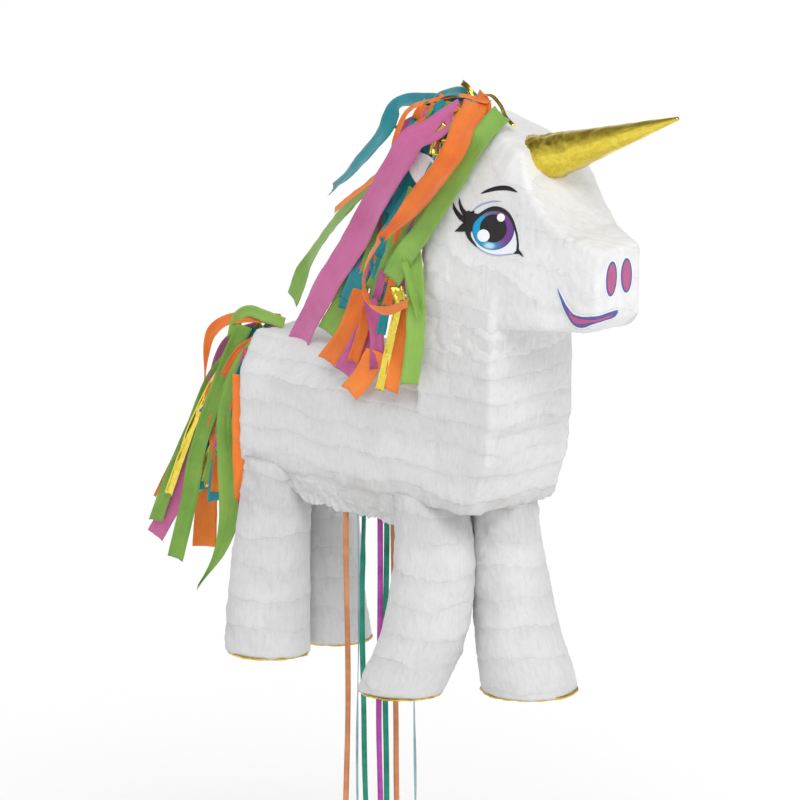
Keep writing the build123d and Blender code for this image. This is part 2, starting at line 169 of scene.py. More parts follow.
class PatternBook:
    """Builds each pattern's node group once, on first use."""

    def __init__(self) -> None:
        """Starts with no groups."""
        self.made: dict[Pattern, bpy.types.NodeTree] = {}

    def group(self, pattern: Pattern) -> bpy.types.NodeTree:
        """Returns the node group of a pattern."""
        if pattern not in self.made:
            tree = bpy.data.node_groups.new(pattern.value, "ShaderNodeTree")
            for name in ("Tint", "Deep"):
                tree.interface.new_socket(name, in_out="INPUT", socket_type="NodeSocketColor")
            tree.interface.new_socket("Rough", in_out="INPUT", socket_type="NodeSocketFloat")
            tree.interface.new_socket("Color", in_out="OUTPUT", socket_type="NodeSocketColor")
            for name in ("Roughness", "Height"):
                tree.interface.new_socket(name, in_out="OUTPUT", socket_type="NodeSocketFloat")
            graph = Graph(tree)
            source = tree.nodes.new("NodeGroupInput").outputs
            place = graph.add("TexCoord").outputs["Object"]
            lap = graph.add("SeparateXYZ",
                            {0: graph.add("Attribute", attribute_name="lap").outputs["Vector"]})
            draw = getattr(self, "_" + pattern.name.lower())
            results = draw(graph, source["Tint"], source["Deep"], source["Rough"], place, lap.outputs)
            sink = tree.nodes.new("NodeGroupOutput")
            for socket, value in zip(sink.inputs, results):
                graph.feed(socket, value)
            self.made[pattern] = tree
        return self.made[pattern]

    @staticmethod
    def _crepe(graph: Graph, tint: object, deep: object, rough: object, place: object, lap: object) -> tuple:
        """Glued strips of crepe: overlap steps, patches and crinkles, with painted shade on the undersides
        under each lap.
        """
        # the third lap value, crumple, darkens the colour below: painted shade of the crumples
        along, phase, crumple = lap[0], lap[1], lap[2]
        share = graph.math("FRACT", phase)
        row = graph.math("FLOOR", phase)
        length = graph.math("FLOOR", graph.plus(graph.math("DIVIDE", along, 0.085),
                                                graph.times(row, 0.37)))
        patch = graph.add("TexWhiteNoise", {"Vector": graph.vector(row, length)},
                          noise_dimensions="3D").outputs["Value"]
        # painted shade: the part of each strip lying under the next lap is darkened
        under = graph.step(share, 0.55, 1.0)
        # painted shadow: a thin dark line just under the edge of the next strip
        line = graph.times(graph.step(share, 0.93, 0.985),
                           graph.step(graph.noise(place, 48.0), 0.42, 0.66))
        ridges = graph.noise(graph.vector(graph.times(along, 330.0),
                                          graph.times(phase, 2.4)), 1.0, 2.0)
        mottle = graph.noise(place, 26.0, 4.0)
        creases = graph.math("ABSOLUTE", graph.math("SUBTRACT", graph.noise(place, 75.0, 4.0, 0.6), 0.5))
        shade = graph.times(under, 0.10)
        # darkening terms: edge shadow line (painted shadow), mottle and patches (the paper's own uneven
        # tone), creases (painted crease shade), crumple (painted shade of the crumples), ridges (painted
        # shade along the crinkle ridges)
        for amount, weight in ((line, 0.13), (graph.step(mottle, 0.36, 0.76), 0.14), (patch, 0.15),
                               (graph.step(creases, 0.022, 0.0), 0.07), (crumple, 0.22),
                               (graph.step(ridges, 0.44, 0.76), 0.14)):
            shade = graph.plus(shade, graph.times(amount, weight))
        color = graph.mix(graph.math("MINIMUM", shade, 1.0), tint, deep)
        height = graph.plus(graph.times(ridges, 0.75), graph.times(creases, 1.5))
        height = graph.math("SUBTRACT", height, graph.times(line, 0.45))
        height = graph.plus(height, graph.times(graph.noise(place, 240.0, 3.0), 0.35))
        return color, graph.plus(rough, graph.times(mottle, 0.12)), height

    @staticmethod
    def _tissue(graph: Graph, tint: object, deep: object, rough: object, place: object, lap: object) -> tuple:
        """Dyed tissue: lengthwise drawn lines, cross crinkles and soft folds."""
        along, across = lap[0], lap[1]
        lines = graph.noise(graph.vector(graph.times(across, 900.0),
                                         graph.times(along, 14.0), lap[2]), 1.0, 3.0)
        cross = graph.noise(graph.vector(graph.times(across, 60.0),
                                         graph.times(along, 420.0), lap[2]), 1.0, 3.0)
        cloud = graph.noise(place, 34.0, 3.0)
        own = graph.add("TexWhiteNoise", {"Vector": graph.vector(lap[2], 0.0)},
                        noise_dimensions="3D").outputs["Value"]
        shade = graph.plus(graph.times(lines, 0.30), graph.times(cloud, 0.70))
        shade = graph.step(graph.plus(shade, graph.times(own, 0.35)), 0.40, 1.10)
        height = graph.plus(graph.times(lines, 0.5), graph.times(cross, 0.10))
        return graph.mix(shade, tint, deep), graph.plus(rough, graph.times(lines, 0.1)), height

    @staticmethod
    def _foil(graph: Graph, tint: object, deep: object, rough: object, place: object, lap: object) -> tuple:
        """Metal foil over card: sharp little facets, painted shade in the folds, scuffs."""
        facets = graph.add("TexVoronoi", {"Vector": place, "Scale": 150.0}, feature="F1").outputs["Distance"]
        creases = graph.math("ABSOLUTE", graph.math("SUBTRACT", graph.noise(place, 90.0, 4.0, 0.6), 0.5))
        # painted shade: the foil colour darkens along its folds
        folds = graph.step(creases, 0.06, 0.0)
        cloud = graph.noise(place, 45.0, 3.0)
        color = graph.mix(graph.times(graph.plus(folds, graph.step(cloud, 0.4, 0.75)), 0.5),
                          tint, deep)
        worn = graph.plus(rough, graph.times(cloud, 0.22))
        height = graph.plus(graph.times(facets, 0.9), graph.times(creases, 2.2))
        return color, worn, height

    @staticmethod
    def _satin(graph: Graph, tint: object, deep: object, rough: object, place: object, lap: object) -> tuple:
        """Embossed gift ribbon: fine lengthwise ribs and faint bands along it."""
        ribs = graph.math("SINE", graph.times(lap[1], 9000.0))
        bands = graph.noise(graph.vector(graph.times(lap[0], 55.0), lap[2]), 1.0, 3.0)
        shade = graph.plus(graph.times(ribs, 0.14), graph.step(bands, 0.3, 0.8))
        return graph.mix(shade, tint, deep), graph.plus(rough, graph.times(bands, 0.15)), ribs

    @staticmethod
    def _card(graph: Graph, tint: object, deep: object, rough: object, place: object, lap: object) -> tuple:
        """Cardboard or plain paper: pulp specks, fibres and the shadow of the flutes."""
        split = graph.add("SeparateXYZ", {0: place}).outputs
        fibre = graph.noise(graph.vector(graph.times(split[0], 2.2), split[1],
                                         graph.times(split[2], 3.0)), 190.0, 5.0, 0.65)
        flutes = graph.math("SINE", graph.times(graph.plus(split[0], split[1]), 1250.0))
        cloud = graph.noise(place, 22.0, 2.0)
        shade = graph.plus(graph.times(fibre, 0.8), graph.times(cloud, 0.4))
        shade = graph.plus(shade, graph.times(flutes, 0.05))
        height = graph.plus(graph.times(fibre, 0.6), graph.times(flutes, 0.12))
        return graph.mix(graph.step(shade, 0.35, 0.95), tint,
                         deep), graph.plus(rough, graph.times(cloud, 0.1)), height

    @staticmethod
    def _print(graph: Graph, tint: object, deep: object, rough: object, place: object, lap: object) -> tuple:
        """Ink on coated paper: a faint dot screen, uneven cover and cockled paper."""
        dots = graph.add("TexVoronoi", {"Vector": place, "Scale": 1500.0}, feature="F1").outputs["Distance"]
        cloud = graph.noise(place, 85.0, 3.0)
        shade = graph.plus(graph.times(graph.step(cloud, 0.35, 0.75), 0.45),
                           graph.times(dots, 0.12))
        return graph.mix(shade, tint, deep), graph.plus(rough, graph.times(cloud, 0.15)), cloud

    @staticmethod
    def _iris(graph: Graph, tint: object, deep: object, rough: object, place: object, lap: object) -> tuple:
        """A printed iris: blue to violet across it, a pale glow low down, dark rim and lid shade."""
        over, up = lap[0], lap[1]
        turn = graph.step(graph.plus(over, graph.times(up, 0.25)), -0.45, 0.55)
        color = graph.mix(turn, tint, deep)
        glow_x = graph.plus(over, 0.18)
        glow_y = graph.times(graph.plus(up, 0.78), 1.6)
        glow = graph.math("SQRT", graph.plus(graph.times(glow_x, glow_x),
                                             graph.times(glow_y, glow_y)))
        color = graph.mix(graph.times(graph.step(glow, 0.38, 0.08), 0.85), color, (0.55, 0.82, 0.95, 1))
        reach = graph.math("SQRT", graph.plus(graph.times(over, over),
                                              graph.times(up, up)))
        color = graph.mix(graph.times(graph.step(reach, 0.90, 1.0), 0.65), color, (0.01, 0.05, 0.10, 1))
        color = graph.mix(graph.times(graph.step(up, 0.45, 0.85), 0.75), color, (0.16, 0.11, 0.18, 1))
        cloud = graph.noise(place, 90.0, 2.0)
        return color, graph.plus(rough, graph.times(cloud, 0.1)), cloud


BOOK = PatternBook()


@dataclass(frozen=True)
class Finish:
    """One material: a pattern in two colours on a Principled shader."""

    name: str
    pattern: Pattern
    tint: Triple
    deep: Triple
    rough: float = 0.7
    bump: float = 0.5
    relief: float = 0.0006
    metallic: float = 0.0
    sheen: float = 0.0
    specular: float = 0.3

    def material(self) -> bpy.types.Material:
        """Returns the material, built on first use."""
        found = bpy.data.materials.get(self.name)
        if found:
            return found
        made = bpy.data.materials.new(self.name)
        made.use_nodes = True
        graph = Graph(made.node_tree)
        pattern = made.node_tree.nodes.new("ShaderNodeGroup")
        pattern.node_tree = BOOK.group(self.pattern)
        for name, value in (("Tint", (*self.tint, 1.0)), ("Deep", (*self.deep, 1.0)), ("Rough", self.rough)):
            pattern.inputs[name].default_value = value
        bump = graph.add("Bump", {"Height": pattern.outputs["Height"], "Strength": self.bump,
                                  "Distance": self.relief})
        shader = graph.add("BsdfPrincipled", {
            "Base Color": pattern.outputs["Color"], "Roughness": pattern.outputs["Roughness"],
            "Normal": bump.outputs[0], "Metallic": self.metallic, "Sheen Weight": self.sheen,
            "Specular IOR Level": self.specular})
        graph.add("OutputMaterial", {"Surface": shader.outputs[0]})
        return made


WHITE_CREPE = Finish("white crepe", Pattern.CREPE, (0.715, 0.715, 0.722), (0.37, 0.355, 0.34), 0.72, 0.60,
                     sheen=0.15)
# the same white crepe painted lighter for the head: painted light
HEAD_CREPE_PAINTED_LIGHTER = Finish("head crepe painted lighter", Pattern.CREPE, (0.79, 0.79, 0.795), (0.44, 0.425, 0.41), 0.72, 0.50,
                    sheen=0.15)
# the same white crepe painted darker for the legs: painted shade
LEG_CREPE_PAINTED_DARKER = Finish("leg crepe painted darker", Pattern.CREPE, (0.67, 0.67, 0.68), (0.35, 0.335, 0.32), 0.72, 0.60,
                   sheen=0.15)
GOLD_FOIL = Finish("gold foil", Pattern.FOIL, (0.84, 0.68, 0.09), (0.66, 0.50, 0.05), 0.13, 0.09,
                   metallic=1.0)
SOLE_FOIL = Finish("sole foil", Pattern.FOIL, (0.78, 0.55, 0.08), (0.36, 0.24, 0.04), 0.28, 0.60,
                   metallic=1.0)
SCLERA = Finish("eye white print", Pattern.PRINT, (0.86, 0.88, 0.92), (0.74, 0.76, 0.84), 0.42, 0.15)
IRIS = Finish("iris print", Pattern.IRIS, (0.005, 0.33, 0.62), (0.16, 0.045, 0.26), 0.38, 0.10)
BLACK_INK = Finish("black print", Pattern.PRINT, (0.012, 0.010, 0.014), (0.030, 0.024, 0.032), 0.40, 0.15)
SOFT_INK = Finish("soft blue print", Pattern.PRINT, (0.30, 0.37, 0.56), (0.42, 0.48, 0.64), 0.45, 0.15)
GLINT = Finish("white glint print", Pattern.PRINT, (0.93, 0.94, 0.95), (0.84, 0.86, 0.88), 0.40, 0.10)
PINK_INK = Finish("pink print", Pattern.PRINT, (0.47, 0.12, 0.25), (0.36, 0.08, 0.22), 0.42, 0.15)
VIOLET_INK = Finish("violet print", Pattern.PRINT, (0.12, 0.10, 0.30), (0.07, 0.15, 0.36), 0.42, 0.15)
PALE_RIM = Finish("pale blue rim print", Pattern.PRINT, (0.76, 0.84, 0.92), (0.84, 0.87, 0.93), 0.45, 0.15)
EAR_PAPER = Finish("ear paper", Pattern.CARD, (0.86, 0.83, 0.84), (0.74, 0.63, 0.66), 0.75, 0.25)
CARDBOARD = Finish("corrugated card", Pattern.CARD, (0.46, 0.31, 0.18), (0.33, 0.21, 0.11), 0.85, 0.40)
PAPER_TAPE = Finish("paper tape", Pattern.CARD, (0.80, 0.74, 0.60), (0.68, 0.60, 0.45), 0.60, 0.20)
TISSUES = {
    dye: Finish(f"{dye} tissue", Pattern.TISSUE, tint, deep, 0.62, 0.55, sheen=0.3)
    for dye, tint, deep in (
        ("green", (0.27, 0.47, 0.085), (0.14, 0.31, 0.040)),
        ("orange", (0.90, 0.24, 0.030), (0.66, 0.12, 0.010)),
        ("pink", (0.58, 0.14, 0.34), (0.40, 0.07, 0.20)),
        ("teal", (0.015, 0.31, 0.36), (0.006, 0.15, 0.19)))
}
TISSUES["gold"] = Finish("gold foil strip", Pattern.FOIL, (0.88, 0.72, 0.12), (0.66, 0.50, 0.05), 0.12, 0.08,
                         metallic=1.0)
RIBBON_SATINS = {
    dye.split()[0]: Finish(f"{dye} ribbon", Pattern.SATIN, tint, deep, 0.34, 0.25, 0.0001)
    for dye, tint, deep in (
        ("green", (0.020, 0.34, 0.22), (0.008, 0.20, 0.13)),
        ("orange", (0.68, 0.29, 0.13), (0.50, 0.18, 0.07)),
        ("blue grey", (0.30, 0.47, 0.55), (0.18, 0.33, 0.41)),
        ("purple", (0.50, 0.08, 0.46), (0.32, 0.04, 0.30)))
}


# ---- making pieces --------------------------------------------------------------------------
def weight_of(mesh: bpy.types.Mesh) -> int:
    """Returns how many triangles a mesh has."""
    return sum(len(face.vertices) - 2 for face in mesh.polygons)


def into_object(name: str, shape: bmesh.types.BMesh, smooth: bool = True) -> bpy.types.Object:
    """Turns a bmesh into a linked object at the origin.

    Args:
        name: the piece's name.
        shape: the bmesh, which is freed.
        smooth: whether faces are shaded smooth.

    Returns:
        The object.
    """
    mesh = bpy.data.meshes.new(name)
    for face in shape.faces:
        face.smooth = smooth
    shape.to_mesh(mesh)
    shape.free()
    piece = bpy.data.objects.new(name, mesh)
    bpy.context.scene.collection.objects.link(piece)
    return piece


def apply_modifiers(piece: bpy.types.Object) -> bpy.types.Object:
    """Puts the result of a piece's modifiers into its own mesh, and returns the piece."""
    depsgraph = bpy.context.evaluated_depsgraph_get()
    finished = bpy.data.meshes.new_from_object(piece.evaluated_get(depsgraph))
    piece.modifiers.clear()
    spent, piece.data = piece.data, finished
    bpy.data.meshes.remove(spent)
    return piece


def thicken(piece: bpy.types.Object, thickness: float, offset: float = -1.0) -> bpy.types.Object:
    """Gives a sheet a real thickness with closed rims, and returns it."""
    wall = piece.modifiers.new("wall", "SOLIDIFY")
    wall.thickness, wall.offset, wall.use_rim = thickness, offset, True
    return apply_modifiers(piece)


def dress(piece: bpy.types.Object, finishes: Finish | Sequence[Finish]) -> None:
    """Gives a piece its finishes, in the order of its faces' material numbers, unless it has some."""
    if not piece.data.materials:
        for finish in [finishes] if isinstance(finishes, Finish) else finishes:
            piece.data.materials.append(finish.material())


def hand_over(piece: bpy.types.Object, body: str, finishes: Finish | Sequence[Finish],
              nodes: Iterable[str] = ()) -> bpy.types.Object:
    """Dresses a piece and gives it to its body.

    Args:
        piece: the finished object.
        body: the body that it rides on.
        finishes: one finish, or several in the order of the faces' material numbers.
        nodes: the CAD nodes that it stands for.

    Returns:
        The piece.
    """
    dress(piece, finishes)
    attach(piece, body)
    if nodes:
        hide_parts(*nodes)
    log.info("%s rides on %s, %d triangles", piece.name, body, weight_of(piece.data))
    return piece


def outline_cuts(outline: Sequence[Pair], first: int, second: int) -> list[tuple[Vector, Vector]]:
    """Turns a convex outline on two axes into cutting planes.

    Args:
        outline: corner points in millimetres, in order.
        first: the axis of each pair's first number.
        second: the axis of its second number.

    Returns:
        A point and an outward direction for each edge.
    """
    middle = Vector((0.0, 0.0, 0.0))
    corners = []
    for a, b in outline:
        corner = Vector((0.0, 0.0, 0.0))
        corner[first], corner[second] = a, b
        corners.append(corner)
        middle += corner / len(outline)
    through = Vector([0.0 if i in (first, second) else 1.0 for i in range(3)])
    cuts = []
    for corner, following in zip(corners, corners[1:] + corners[:1]):
        outward = (following - corner).cross(through)
        cuts.append((corner, outward if outward.dot(corner - middle) > 0 else -outward))
    return cuts


def add_block(form: bmesh.types.BMesh, low: Triple, high: Triple,
              cuts: Sequence[tuple[Vector, Vector]]) -> None:
    """Adds a box sliced to a convex block.

    Args:
        form: the bmesh that gets the block, in the shared frame.
        low: the box's lowest corner in millimetres.
        high: its highest corner.
        cuts: a point and an outward direction for each slice.
    """
    block = bmesh.new()
    bmesh.ops.create_cube(block, size=1.0)
    low_corner, high_corner = Vector(low), Vector(high)
    bmesh.ops.scale(block, vec=high_corner - low_corner, verts=block.verts)
    bmesh.ops.translate(block, vec=(low_corner + high_corner) / 2, verts=block.verts)
    for point, outward in cuts:
        cut = bmesh.ops.bisect_plane(block, geom=block.verts[:] + block.edges[:] + block.faces[:],
                                     plane_co=point, plane_no=outward, clear_outer=True)
        rim = [item for item in cut["geom_cut"] if isinstance(item, bmesh.types.BMEdge)]
        if rim:
            bmesh.ops.holes_fill(block, edges=rim, sides=0)
    bmesh.ops.transform(block, matrix=Matrix.Scale(MM, 4) @ Matrix.Translation(-HANG_HOLE), verts=block.verts)
    bmesh.ops.recalc_face_normals(block, faces=block.faces)
    spare = bpy.data.meshes.new("block")
    block.to_mesh(spare)
    block.free()
    form.from_mesh(spare)
    bpy.data.meshes.remove(spare)


def weld_forms(name: str, form: bmesh.types.BMesh, voxel: float, soften: int) -> bpy.types.Object:
    """Joins overlapping blocks into one even skin.

    Args:
        name: the piece's name.
        form: the blocks, freed here.
        voxel: the size of the new faces in metres.
        soften: how many times the corners are smoothed.

    Returns:
        The skin as an object.
    """
    piece = into_object(name, form)
    weld = piece.modifiers.new("weld", "REMESH")
    weld.mode, weld.voxel_size, weld.use_smooth_shade = "VOXEL", voxel, True
    apply_modifiers(piece)
    skin = bmesh.new()
    skin.from_mesh(piece.data)
    for _ in range(soften):
        bmesh.ops.smooth_vert(skin, verts=skin.verts, factor=0.5, use_axis_x=True, use_axis_y=True,
                              use_axis_z=True)
    skin.to_mesh(piece.data)
    skin.free()
    return piece


@dataclass(frozen=True)
class CrepeLay:
    """How strips of crepe are glued over a form, in metres."""

    pitch: float = 0.022
    step: float = 0.0008
    wander: float = 0.0035
    dent: float = 0.0011
    crease: float = 0.0007
    crumple: float = 0.0030
    lift: float = 0.0010
    seed: float = 0.0

    def cover(self, piece: bpy.types.Object, chart: Chart) -> bpy.types.Object:
        """Moves a skin's points to the laid paper, and writes the lap attribute.

        Args:
            piece: the skin.
            chart: gives, for a place and its outward direction, the distance along the strips
                and across them, how crumpled the paper is and how much of the relief it keeps.

        Returns:
            The piece.
        """
        mesh = piece.data
        seed = Vector((self.seed, 3.1 * self.seed, 7.7 * self.seed))
        directions = [vertex.normal.copy() for vertex in mesh.vertices]
        laps = []
        for vertex, outward in zip(mesh.vertices, directions):
            place = vertex.co + seed
            along, across, crumple, keep = chart(drawn(vertex.co), outward)
            ragged = noise.noise(place * 28.0) + 0.35 * noise.noise(place * 150.0)
            phase = (across + self.wander * ragged) / self.pitch
            share = phase - math.floor(phase)
            rise = self.step * (1.0 - share) * (1.0 if share > 0.06 else share / 0.06)
            rise += self.dent * noise.fractal(place * 21.0, 1.0, 2.0, 2)
            folds = abs(noise.noise(place * 55.0)) + 0.5 * abs(noise.noise(place * 120.0 + seed))
            rise += (self.crease + self.crumple * crumple) * (folds - 0.35)
            vertex.co += outward * (max(rise, -self.lift * 0.7) * keep + self.lift * keep)
            # the crumple value also darkens the crepe colour in the pattern: painted shade of the crumples
            laps.append((along, phase, crumple))
        attribute = mesh.attributes.new("lap", "FLOAT_VECTOR", "POINT")
        attribute.data.foreach_set("vector", np.array(laps, np.float32).ravel())
        mesh.update()
        return piece


def cut_window(piece: bpy.types.Object, low: Triple, high: Triple) -> None:
    """Cuts a rectangular opening through a skin.

    Args:
        piece: the skin.
        low: the lowest corner of the box that the opening fills, in millimetres.
        high: its highest corner.
    """
    low_corner, high_corner = at(*low), at(*high)
    skin = bmesh.new()
    skin.from_mesh(piece.data)

    def within(face: bmesh.types.BMFace, margin: float) -> bool:
        """Says whether a face's middle lies in the box, grown by a margin."""
        middle = face.calc_center_median()
        return all(low_corner[i] - margin < middle[i] < high_corner[i] + margin for i in range(3))

    spans = [high_corner[i] - low_corner[i] for i in range(3)]
    through = spans.index(min(spans))
    for axis in range(3):
        if axis == through:
            continue
        for corner in (low_corner, high_corner):
            near = [face for face in skin.faces if within(face, 0.006)]
            geometry = set(near)
            for face in near:
                geometry.update(face.edges, face.verts)
            direction = Vector((0.0, 0.0, 0.0))
            direction[axis] = 1.0
            bmesh.ops.bisect_plane(skin, geom=list(geometry), plane_co=corner, plane_no=direction, dist=1e-6)
    bmesh.ops.delete(skin, geom=[face for face in skin.faces if within(face, 0.0)], context="FACES")
    skin.to_mesh(piece.data)
    skin.free()


def smooth_route(points: Sequence[Triple], count: int) -> list[Vector]:
    """Returns count places along a smooth curve through points in millimetres, in the shared frame."""
    places = [at(*point) for point in points]
    places = [places[0] * 2 - places[1], *places, places[-1] * 2 - places[-2]]
    reach = [0.0]
    for here, after in zip(places[1:-2], places[2:-1]):
        reach.append(reach[-1] + (after - here).length)
    found, span = [], 0
    for i in range(count):
        target = reach[-1] * i / (count - 1)
        while span < len(reach) - 2 and target > reach[span + 1]:
            span += 1
        t = (target - reach[span]) / (reach[span + 1] - reach[span])
        a, b, c, d = places[span:span + 4]
        found.append(on_curve(a, b, c, d, t))
    return found


@dataclass
class Studio:
    """A pale floor, soft light and the camera."""

    aim: Triple = (0.0, 0.0, 233.0)
    azimuth: float = 45.0
    elevation: float = 14.0
    distance: float = 32.0
    lens: float = 1694.0
    floor_z: float = -0.60
    floor_size: float = 9.0

    def camera(self) -> None:
        """Places the camera and makes it the scene's own."""
        turn, rise = math.radians(self.azimuth), math.radians(self.elevation)
        back = Vector((math.sin(turn) * math.cos(rise), -math.cos(turn) * math.cos(rise), math.sin(rise)))
        camera = bpy.data.objects.new("camera", bpy.data.cameras.new("camera"))
        camera.data.lens, camera.data.sensor_width, camera.data.clip_end = self.lens, 36.0, 80.0
        camera.location = at(*self.aim) + back * self.distance
        camera.rotation_euler = back.to_track_quat("Z", "Y").to_euler()
        bpy.context.scene.collection.objects.link(camera)
        bpy.context.scene.camera = camera

    def lights(self) -> None:
        """Adds one soft key light, one low fill and a white sky that foil mirrors as darker overhead."""
        for name, energy, spread, direction in (("key", 1.30, 32.0, (0.65, -0.45, 0.80)),
                                                ("fill", 0.42, 60.0, (1.0, 0.10, 0.35))):
            light = bpy.data.lights.new(name, "SUN")
            light.energy, light.angle = energy, math.radians(spread)
            lamp = bpy.data.objects.new(name, light)
            lamp.rotation_euler = Vector(direction).to_track_quat("Z", "Y").to_euler()
            bpy.context.scene.collection.objects.link(lamp)
        world = bpy.data.worlds.new("sky")
        world.use_nodes = True
        graph = Graph(world.node_tree)
        up = graph.add("SeparateXYZ", {0: graph.add("TexCoord").outputs["Generated"]}).outputs[2]
        glossy = graph.add("LightPath").outputs["Is Glossy Ray"]
        shade = graph.times(glossy, graph.step(up, 0.05, 0.75))
        sky = graph.mix(shade, (1.0, 1.0, 1.0, 1.0), (0.16, 0.13, 0.11, 1.0))
        light = graph.add("Background", {"Color": sky, "Strength": 0.72})
        graph.add("OutputWorld", {"Surface": light.outputs[0]})
        bpy.context.scene.world = world
        bpy.context.scene.view_settings.view_transform = "Standard"

    def floor(self) -> None:
        """Lays the floor below the ribbons' ends."""
        ground = bmesh.new()
        bmesh.ops.create_grid(ground, x_segments=8, y_segments=8, size=self.floor_size)
        bmesh.ops.translate(ground, vec=(0.0, 0.0, self.floor_z), verts=ground.verts)
        floor = into_object("floor", ground)
        floor.data.materials.append(
            Finish("studio floor", Pattern.CARD, (0.98, 0.98, 0.98), (0.965, 0.965, 0.965), 0.8,
                   0.05).material())

    def build(self) -> None:
        """Builds the whole studio."""
        self.camera()
        self.lights()
        self.floor()


@dataclass(frozen=True)
class PullRibbon:
    """One hanging pull ribbon: its finish, its place in the belly and how it wanders."""

    node: str
    body: str
    colour: str
    x: float
    y: float
    facing: float
    drift: tuple[Pair, ...]


@dataclass
class PullRibbons:
    """The seven pull ribbons. One is taped to the release flap and six are decoys through slits."""

    belly: float = 165.0
    bottom: float = -285.0
    stub_top: float = 210.0
    decoy_top: float = 145.0
    trigger_top: float = 161.3
    width: float = 0.0048
    thickness: float = 0.00035
    cup: float = 0.0003
    sway: float = 0.45
    flat_until: float = 0.040
    free_from: float = 0.065
    ribbons: tuple[PullRibbon, ...] = (
        PullRibbon("ribbon_green_trigger", "trigger_ribbon", "green", -40.0, -2.0, 20.0, (
            (0.0, 0.0), (-0.9, -1.6), (-1.7, -2.6), (-0.4, -1.4), (-1.6, 0.6), (0.8, 1.4), (-0.5, 0.2),
            (0.6, -1.0))),
        PullRibbon("ribbon_orange_rear", "ribbon_orange_rear_pull", "orange", -28.0, -37.0, 30.0, (
            (0.0, 0.0), (-0.9, 0.8), (0.6, 1.6), (1.9, 0.7), (0.9, -0.6), (-0.4, -1.5), (0.7, -0.4),
            (1.9, 0.9))),
        PullRibbon("ribbon_blue_rear", "ribbon_blue_rear_pull", "blue", -15.0, -36.0, 122.0, (
            (0.0, 0.0), (0.8, 0.7), (1.7, -0.3), (0.6, -1.1), (-0.5, -0.3), (0.4, 0.9), (1.4, 0.2),
            (0.3, -0.8))),
        PullRibbon("ribbon_green_front", "ribbon_green_front_pull", "green", -50.0, 34.0, 35.0, (
            (0.0, 0.0), (-0.7, 0.9), (-1.7, 0.1), (-1.0, -1.1), (0.2, -0.5), (-0.6, 0.7), (-1.6, 0.0),
            (-0.9, -1.2))),
        PullRibbon("ribbon_purple", "ribbon_purple_pull", "purple", -2.0, -22.0, 40.0, (
            (0.0, 0.0), (1.0, -0.6), (1.6, -1.8), (0.4, -2.4), (1.3, -1.2), (2.2, -0.2), (1.1, 0.6),
            (2.0, 1.6))),
        PullRibbon("ribbon_orange_front", "ribbon_orange_front_pull", "orange", 0.0, -9.0, 25.0, (
            (0.0, 0.0), (0.9, 0.8), (2.1, 0.2), (3.0, 1.2), (2.2, 2.2), (3.3, 2.8), (4.2, 1.9), (3.4, 0.9))),
        PullRibbon("ribbon_blue_front", "ribbon_blue_front_pull", "blue", 3.0, 12.0, 122.0, (
            (0.0, 0.0), (0.7, -0.8), (1.6, 0.1), (0.8, 1.1), (1.7, 1.9), (0.9, 2.9), (1.9, 3.6), (1.0, 4.4))),
    )

    def route(self, ribbon: PullRibbon) -> list[Vector]:
        """Returns the ribbon's route points, from inside the belly to its free end."""
        is_trigger = ribbon.body == "trigger_ribbon"
        top = self.trigger_top if is_trigger else self.decoy_top
        step = (top - self.bottom) / (len(ribbon.drift) - 1)
        points = [at(ribbon.x + dx, ribbon.y + dy, top - i * step) for i, (dx, dy) in enumerate(ribbon.drift)]
        return points if is_trigger else [at(ribbon.x, ribbon.y, self.stub_top), *points]

    @staticmethod
    def centreline(name: str, points: Sequence[Vector]) -> list[Vector]:
        """Returns the places along a smooth spline with these control points."""
        curve = bpy.data.curves.new(name, "CURVE")
        curve.dimensions = "3D"
        spline = curve.splines.new("NURBS")
        spline.points.add(len(points) - 1)
        for control, point in zip(spline.points, points):
            control.co = (*point, 1.0)
        spline.order_u, spline.use_endpoint_u = 3, True
        spline.resolution_u = curve.resolution_u = 16
        line = bpy.data.objects.new(name, curve)
        bpy.context.scene.collection.objects.link(line)
        mesh = bpy.data.meshes.new_from_object(line.evaluated_get(bpy.context.evaluated_depsgraph_get()))
        places = [vertex.co.copy() for vertex in mesh.vertices]
        bpy.data.objects.remove(line)
        bpy.data.curves.remove(curve)
        bpy.data.meshes.remove(mesh)
        return places

    def build(self) -> None:
        """Builds every ribbon as a thin strip that turns a little as it hangs, flat at the tape."""
        for number, ribbon in enumerate(self.ribbons):
            path = self.centreline(ribbon.node + "_line", self.route(ribbon))
            length = sum((b - a).length for a, b in zip(path, path[1:]))
            rows, taped = len(path) - 1, ribbon.body == "trigger_ribbon"
            strip = bmesh.new()
            lap = strip.verts.layers.float_vector.new("lap")
            bmesh.ops.create_grid(strip, x_segments=2, y_segments=rows, size=1.0)
            for vertex in strip.verts:
                side, row = vertex.co.x, round((vertex.co.y + 1) / 2 * rows)
                reach = length * row / rows
                down = (path[min(row + 1, rows)] - path[max(row - 1, 0)]).normalized()
                hung = blend01(reach, self.flat_until, self.free_from) if taped else 1.0
                sway = hung * self.sway * waver(number * 5.3, row * 0.045, 0.0)
                turn = math.radians(90.0 + (ribbon.facing - 90.0) * hung) + sway
                across = Vector((math.cos(turn), math.sin(turn), 0.0))
                across = (across - down * across.dot(down)).normalized()
                cup = across.cross(down) * self.cup * (1 - side * side)
                vertex[lap] = (reach, side * self.width / 2, number * 1.7)
                vertex.co = path[row] + across * side * self.width / 2 + cup
            bmesh.ops.recalc_face_normals(strip, faces=strip.faces)
            piece = thicken(into_object(ribbon.node + "_strip", strip), self.thickness, 0.0)
            hand_over(piece, ribbon.body, RIBBON_SATINS[ribbon.colour],
                      [ribbon.node])


